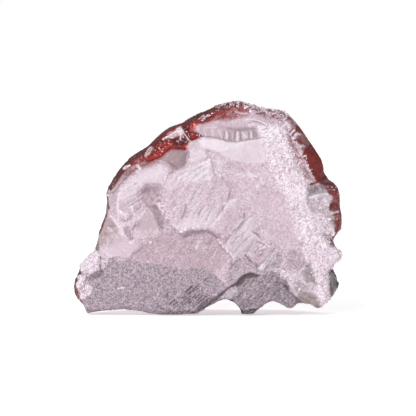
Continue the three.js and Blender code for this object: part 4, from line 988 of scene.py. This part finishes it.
def makeBlock():  # one broken grain, 1 across before it is cut
    bpy.ops.object.select_all(action="DESELECT")
    bpy.ops.mesh.primitive_cube_add(size=1)
    bpy.ops.object.mode_set(mode="EDIT")
    for place, facing in crystalShape["cuts"]:
        bpy.ops.mesh.select_all(action="SELECT")
        bpy.ops.mesh.bisect(plane_co=place, plane_no=facing, use_fill=True, clear_outer=True)
    bpy.ops.mesh.select_all(action="SELECT")
    bpy.ops.mesh.quads_convert_to_tris()
    bpy.ops.mesh.normals_make_consistent(inside=False)
    bpy.ops.object.mode_set(mode="OBJECT")
    return bpy.context.object


def readShape(piece):  # its points, and its faces in one fixed order, and the piece is put away
    points = np.array([v.co[:] for v in piece.data.vertices])
    faces = np.array(sorted(f.vertices[:] for f in piece.data.polygons))
    bpy.data.objects.remove(piece)
    return points, faces


def turnTo(direction, spin):  # axes of a frame whose third axis is the direction
    upright = np.abs(direction[:, 2:3]) >= crystalShape["upright"]
    helper = np.where(upright, [[1.0, 0.0, 0.0]], [[0.0, 0.0, 1.0]])
    side = np.cross(helper, direction)
    side /= np.linalg.norm(side, axis=1)[:, None]
    up = np.cross(direction, side)
    c, s = np.cos(spin)[:, None], np.sin(spin)[:, None]
    return np.stack([side * c + up * s, up * c - side * s, direction], axis=1)


def crystalSizes(kind, rng, count):  # width, depth and height of each
    s = crystalShape
    if kind == "block":
        size = rng.uniform(*s["blockSize"], count)[:, None]
        return size * rng.uniform(*s["blockStretch"], (count, 3))
    wide = rng.uniform(*s["radius"], count) * 2
    deep = wide * rng.uniform(*s["flatten"], count)
    tall = wide * rng.uniform(*s["stretch"], count) / 2
    return np.stack([wide, deep, tall], axis=1)


def growCrystals(stone):  # points and broken grains, set at random where the sugary crust is
    s = crystalShape
    rng = np.random.default_rng(s["seed"])
    points, normals = readPoints(stone), readNormals(stone)
    ahead = ramp(*s["front"], points[:, 1])
    weight = markAmount("druse", points) * ahead * ramp(*s["foot"], points[:, 2])
    rust = np.empty(len(points), np.float32)
    stone.data.attributes["rust"].data.foreach_get("value", rust)
    verts, faces, tones, rusts = [], [], [], []
    total = 0
    for kind, make, count in (("point", makePoint, s["points"]), ("block", makeBlock, s["blocks"])):
        shape, shapeFaces = readShape(make())
        pick = rng.choice(len(points), count, p=weight / weight.sum())
        direction = normals[pick] + s["lean"] * rng.normal(size=(count, 3))
        direction /= np.linalg.norm(direction, axis=1)[:, None]
        axes = turnTo(direction, rng.uniform(0, 2 * math.pi, count))
        scale = crystalSizes(kind, rng, count)
        local = shape[None] * scale[:, None]
        local[:, :, 2] -= s["sink"] * scale[:, None, 2]
        placed = np.einsum("nvi,nij->nvj", local, axes) + points[pick][:, None]
        verts.append(placed.reshape(-1, 3))
        faces.append((shapeFaces[None] + total + len(shape) * np.arange(count)[:, None, None]).reshape(-1, 3))
        total += count * len(shape)
        tones.append(np.repeat(rng.uniform(0, 1, count) ** s["toneBias"], len(shape)))
        rusts.append(np.repeat(rust[pick] * rng.uniform(*s["rustShare"], count), len(shape)))
    verts = insideBox(np.concatenate(verts))
    mesh = bpy.data.meshes.new("sugar_crystals")
    mesh.from_pydata((verts * mm).tolist(), [], np.concatenate(faces).tolist())
    crystals = bpy.data.objects.new("sugar_crystals", mesh)
    bpy.context.scene.collection.objects.link(crystals)
    saveMask(crystals, "tone", np.concatenate(tones))
    saveMask(crystals, "rust", np.concatenate(rusts))
    print("crystals grown,", len(mesh.polygons), "faces")
    return crystals


finish = {
    # mauve is the colour of painted shade in the hollows and below ledges
    "pink": (0.845, 0.76, 0.805), "pale": (0.885, 0.81, 0.855), "mauveShade": (0.74, 0.635, 0.68),
    "grey": (0.71, 0.645, 0.69), "clear": (0.575, 0.56, 0.565), "brown": (0.62, 0.56, 0.53),
    # light is the colour of painted highlights and glints, and the white of the crystals
    "white": (0.97, 0.925, 0.955), "light": (0.97, 0.93, 0.96), "redBrown": (0.515, 0.15, 0.115),
    "red": (0.555, 0.145, 0.135), "glow": (0.80, 0.21, 0.14), "deep": (0.36, 0.10, 0.10),
    # dark is the colour of painted shade in cracks and under edges, and of dark lines and scratches
    "skin": (0.375, 0.13, 0.14), "stain": (0.50, 0.24, 0.21), "dark": (0.27, 0.22, 0.215),
    "sugarGrey": (0.77, 0.685, 0.73), "rust": (0.62, 0.36, 0.36),
    "layers": ("mauveShade", "grey", "clear", "brown", "white", "redBrown", "red", "glow", "deep"),
    "strong": ("redBrown", "red", "deep", "skin"),
    "cloudScale": 220, "cloudDetail": 4, "cloudRange": (0.35, 0.7),  # of the pale clouds in the pink
    "stainScale": 380, "stainDetail": 7, "stainRough": 0.62, "stainRange": (0.42, 0.66), "scuff": 0.55,
    "grainSize": 0.3, "grainTilt": 0.6, "skinTilt": 0.14, "grainShades": (0.35, 1.55),
    "grain": 0.4, "greyGrain": 0.32, "whiteGrain": 0.12, "smoothGrain": 0.08,
    "glintRange": (0.96, 0.995), "glint": 0.5, "streak": 0.3, "streakShades": (0.3, 1.7),
    "hatch": 0.5, "hatchAngle": 55, "hatchSize": (0.0035, 0.003, 0.00035), "hatchDepth": 0.0003,
    "hatchRange": (0.3, 0.7), "hatchShades": (0.5, 1.45),
    "roughness": 0.5, "polish": 0.25, "skinRough": 0.42,
    "subsurface": 0.1, "subsurfaceRadius": (0.0015, 0.001, 0.001),
    "crystalScale": 900, "crystalCloud": 0.3, "crystalShades": (0.6, 1.4), "crystalRough": (0.1, 0.35),
    # the crystals' painted glow, as if lit from inside
    "paintedGlow": 0.1,
}


def linear(color):  # from the screen's shares to light
    return tuple(c / 12.92 if c <= 0.04045 else ((c + 0.055) / 1.055) ** 2.4 for c in color) + (1.0,)


def plug(tree, socket, value):
    if isinstance(value, bpy.types.NodeSocket):
        tree.links.new(value, socket)
    else:
        socket.default_value = value


def addNode(tree, kind, inputs=None, **values):
    node = tree.nodes.new(kind)
    for name, value in values.items():
        setattr(node, name, value)
    for name, value in (inputs or {}).items():
        plug(tree, node.inputs[name], value)
    return node


def attribute(tree, name):
    return addNode(tree, "ShaderNodeAttribute", attribute_name=name).outputs["Fac"]


def calc(tree, operation, *values):
    return addNode(tree, "ShaderNodeMath", dict(enumerate(values)), operation=operation).outputs[0]


def calcVector(tree, operation, inputs):
    return addNode(tree, "ShaderNodeVectorMath", inputs, operation=operation).outputs[0]


def remap(tree, value, start=(0, 1), end=(0, 1)):
    inputs = {"Value": value, 1: start[0], 2: start[1], 3: end[0], 4: end[1]}
    return addNode(tree, "ShaderNodeMapRange", inputs).outputs[0]


def noiseNode(tree, place, scale, detail=2, roughness=0.5):
    inputs = {"Vector": place, "Scale": scale, "Detail": detail, "Roughness": roughness}
    return addNode(tree, "ShaderNodeTexNoise", inputs).outputs[0]


def mixColor(tree, factor, first, second, blend="MIX"):
    inputs = {0: factor, 6: first, 7: second}
    return addNode(tree, "ShaderNodeMix", inputs, data_type="RGBA", blend_type=blend).outputs[2]


def mixValue(tree, factor, first, second):
    return addNode(tree, "ShaderNodeMix", {0: factor, 2: first, 3: second}, data_type="FLOAT").outputs[0]


def shadeBy(tree, color, amount, value, shades):  # darker where the value is low, lighter where it is high
    level = remap(tree, value, end=shades)
    shade = addNode(tree, "ShaderNodeCombineColor", {n: level for n in range(3)}).outputs[0]
    return mixColor(tree, amount, color, shade, "MULTIPLY")


def newMaterial(name):
    material = bpy.data.materials.new(name)
    material.use_nodes = True
    tree = material.node_tree
    return material, tree, tree.nodes["Principled BSDF"].inputs


def grainGroup():  # small crystal grains: a random shade and a random lean for each
    group = bpy.data.node_groups.new("sugar grain", "ShaderNodeTree")
    for name, way, kind in (("Vector", "INPUT", "NodeSocketVector"), ("Scale", "INPUT", "NodeSocketFloat"),
                            ("Tilt", "INPUT", "NodeSocketFloat"), ("Shade", "OUTPUT", "NodeSocketFloat"),
                            ("Normal", "OUTPUT", "NodeSocketVector")):
        group.interface.new_socket(name, in_out=way, socket_type=kind)
    given = addNode(group, "NodeGroupInput").outputs
    cells = addNode(group, "ShaderNodeTexVoronoi", {"Vector": given["Vector"], "Scale": given["Scale"]})
    base = addNode(group, "ShaderNodeNewGeometry").outputs["Normal"]
    lean = calcVector(group, "SUBTRACT", {0: cells.outputs["Color"], 1: (0.5, 0.5, 0.5)})
    lean = calcVector(group, "SCALE", {0: lean, "Scale": given["Tilt"]})
    lean = calcVector(group, "ADD", {0: lean, 1: base})
    lean = calcVector(group, "NORMALIZE", {0: lean})
    shade = addNode(group, "ShaderNodeSeparateColor", {0: cells.outputs["Color"]}).outputs[0]
    addNode(group, "NodeGroupOutput", {"Shade": shade, "Normal": lean})
    return group


def layColors(tree, place, mask):  # pink quartz, the finishes and the painted shade over it, and the skin over them
    f = finish
    cloud = noiseNode(tree, place, f["cloudScale"], f["cloudDetail"])
    color = mixColor(tree, remap(tree, cloud, f["cloudRange"]), linear(f["pink"]), linear(f["pale"]))
    for name in f["layers"]:
        color = mixColor(tree, mask[name], color, linear(f[name]))
    stain = noiseNode(tree, place, f["stainScale"], f["stainDetail"], f["stainRough"])
    film = mixColor(tree, remap(tree, stain, f["stainRange"]), linear(f["skin"]), linear(f["stain"]))
    color = mixColor(tree, mask["skin"], color, film)
    scuff = calc(tree, "MULTIPLY", attribute(tree, "scuff"), f["scuff"])
    return mixColor(tree, scuff, color, linear(f["pale"]))


def stoneMaterial(grain):
    f = finish
    material, tree, sockets = newMaterial("milky quartz")
    place = addNode(tree, "ShaderNodeTexCoord").outputs["Object"]
    mask = {name: attribute(tree, name) for name in markAreas}
    tilt = mixValue(tree, mask["skin"], f["grainTilt"], f["skinTilt"])
    inputs = {"Vector": place, "Scale": 1 / (f["grainSize"] * mm), "Tilt": tilt}
    grains = addNode(tree, "ShaderNodeGroup", inputs, node_tree=grain).outputs
    color = layColors(tree, place, mask)

    grainy = calc(tree, "MULTIPLY_ADD", mask["grey"], f["greyGrain"], f["grain"])
    grainy = calc(tree, "MULTIPLY_ADD", mask["white"], f["whiteGrain"], grainy)
    grainy = mixValue(tree, mask["smooth"], grainy, f["smoothGrain"])
    color = shadeBy(tree, color, grainy, grains["Shade"], f["grainShades"])
    color = shadeBy(tree, color, f["streak"], attribute(tree, "streak"), f["streakShades"])
    turn = (0, -math.radians(f["hatchAngle"]), 0)
    inputs = {"Vector": place, "Scale": f["hatchSize"], "Rotation": turn}
    stretched = addNode(tree, "ShaderNodeMapping", inputs, vector_type="TEXTURE").outputs[0]
    hatching = remap(tree, noiseNode(tree, stretched, 1), f["hatchRange"])
    hatch = calc(tree, "MULTIPLY", attribute(tree, "hatch"), f["hatch"])
    color = shadeBy(tree, color, hatch, hatching, f["hatchShades"])

    glint = remap(tree, grains["Shade"], f["glintRange"], (0, f["glint"]))
    coated = calc(tree, "MAXIMUM", mask["skin"], mask["redBrown"])
    uncoated = calc(tree, "SUBTRACT", 1, calc(tree, "MAXIMUM", coated, mask["red"]))
    color = mixColor(tree, calc(tree, "MULTIPLY", glint, uncoated), color, linear(f["light"]))
    # painted highlights and painted shade over the colours, with real white streaks, dark lines and scratches
    # among them
    for name in ("light", "dark"):
        color = mixColor(tree, mask[name], color, linear(f[name]))
    plug(tree, sockets["Base Color"], color)

    inputs = {"Height": hatching, "Strength": hatch, "Distance": f["hatchDepth"], "Normal": grains["Normal"]}
    plug(tree, sockets["Normal"], addNode(tree, "ShaderNodeBump", inputs).outputs[0])
    polished = calc(tree, "MAXIMUM", mask["red"], mask["clear"])
    polished = mixValue(tree, polished, f["roughness"], f["polish"])
    plug(tree, sockets["Roughness"], mixValue(tree, mask["skin"], polished, f["skinRough"]))
    sockets["Subsurface Weight"].default_value = f["subsurface"]
    sockets["Subsurface Radius"].default_value = f["subsurfaceRadius"]
    return material


def crystalMaterial():
    f = finish
    material, tree, sockets = newMaterial("sugar crystals")
    place = addNode(tree, "ShaderNodeTexCoord").outputs["Object"]
    cloud = noiseNode(tree, place, f["crystalScale"])
    color = mixColor(tree, attribute(tree, "tone"), linear(f["light"]), linear(f["sugarGrey"]))
    color = mixColor(tree, attribute(tree, "rust"), color, linear(f["rust"]))
    color = shadeBy(tree, color, f["crystalCloud"], cloud, f["crystalShades"])
    plug(tree, sockets["Base Color"], color)
    plug(tree, sockets["Roughness"], mixValue(tree, cloud, *f["crystalRough"]))
    plug(tree, sockets["Emission Color"], color)  # painted glow: the crystals give off a little light of their own colour, in place of light coming back through them
    sockets["Emission Strength"].default_value = f["paintedGlow"]
    return material


setting = {
    "lens": 250.0, "sensor": 36, "nearest": 0.01,
    "frameWidth": 104.0, "aimZ": 26.75, "rise": 2.0, "planeY": -8.0,
    "floorSize": 8, "floorColor": (0.9, 0.9, 0.9, 1), "floorRough": 0.9, "floorGlow": (0.25, 0.5),
    "white": (1, 1, 1, 1), "sky": 0.36, "mirrorSky": 0.2, "backdrop": 1.0,
    "lamps": {"key": ((55, 0, -20), 1.6, 14), "back": ((-50, 0, 25), 1.1, 30)},  # turn, power and width
}


def buildCamera():
    s = setting
    distance = s["frameWidth"] * s["lens"] / s["sensor"]
    data = bpy.data.cameras.new("camera")
    data.lens = s["lens"]
    data.sensor_width = s["sensor"]
    data.clip_start = s["nearest"]
    camera = bpy.data.objects.new("camera", data)
    bpy.context.scene.collection.objects.link(camera)
    rise = math.radians(s["rise"])
    aim = Vector((0, s["planeY"], s["aimZ"])) * mm
    camera.location = aim + Vector((0, -math.cos(rise), math.sin(rise))) * distance * mm
    camera.rotation_euler = (math.pi / 2 - rise, 0, 0)
    bpy.context.scene.camera = camera


def buildFloor():
    s = setting
    bpy.ops.object.select_all(action="DESELECT")
    bpy.ops.mesh.primitive_plane_add(size=s["floorSize"])
    floor = bpy.context.object
    floor.name = "floor"
    paint, tree, sockets = newMaterial("pale floor")
    seen = addNode(tree, "ShaderNodeLightPath").outputs
    plug(tree, sockets["Emission Strength"], mixValue(tree, seen["Is Camera Ray"], *s["floorGlow"]))
    sockets["Base Color"].default_value = s["floorColor"]
    sockets["Roughness"].default_value = s["floorRough"]
    sockets["Emission Color"].default_value = s["white"]
    floor.data.materials.append(paint)


def buildLight():
    s = setting
    world = bpy.data.worlds.new("studio")
    world.use_nodes = True
    tree = world.node_tree
    seen = addNode(tree, "ShaderNodeLightPath").outputs
    glow = mixValue(tree, seen["Is Glossy Ray"], s["sky"], s["mirrorSky"])
    glow = mixValue(tree, seen["Is Camera Ray"], glow, s["backdrop"])  # a white backdrop behind the stone
    plug(tree, tree.nodes["Background"].inputs["Color"], s["white"])
    plug(tree, tree.nodes["Background"].inputs["Strength"], glow)
    bpy.context.scene.world = world
    for name, (turn, power, width) in s["lamps"].items():
        sun = bpy.data.lights.new(name, "SUN")
        sun.energy = power
        sun.angle = math.radians(width)
        lamp = bpy.data.objects.new(name, sun)
        lamp.rotation_euler = [math.radians(a) for a in turn]
        lamp.visible_glossy = name == "key"  # the others only fill in
        bpy.context.scene.collection.objects.link(lamp)
    bpy.context.scene.view_settings.view_transform = "Standard"
    print("camera, floor and light set up")


buildCamera()
buildFloor()
buildLight()
stone = buildStone()
wearBack(stone)
dressStone(stone)
thinOut(stone)
paintMarks(stone)
stone.data.materials.append(stoneMaterial(grainGroup()))
makeActive(stone)
bpy.ops.object.shade_smooth_by_angle(angle=math.radians(stoneShape["crease"]))
crystals = growCrystals(stone)
crystals.data.materials.append(crystalMaterial())
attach(stone, "root")
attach(crystals, "root")
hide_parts("red_quartz")
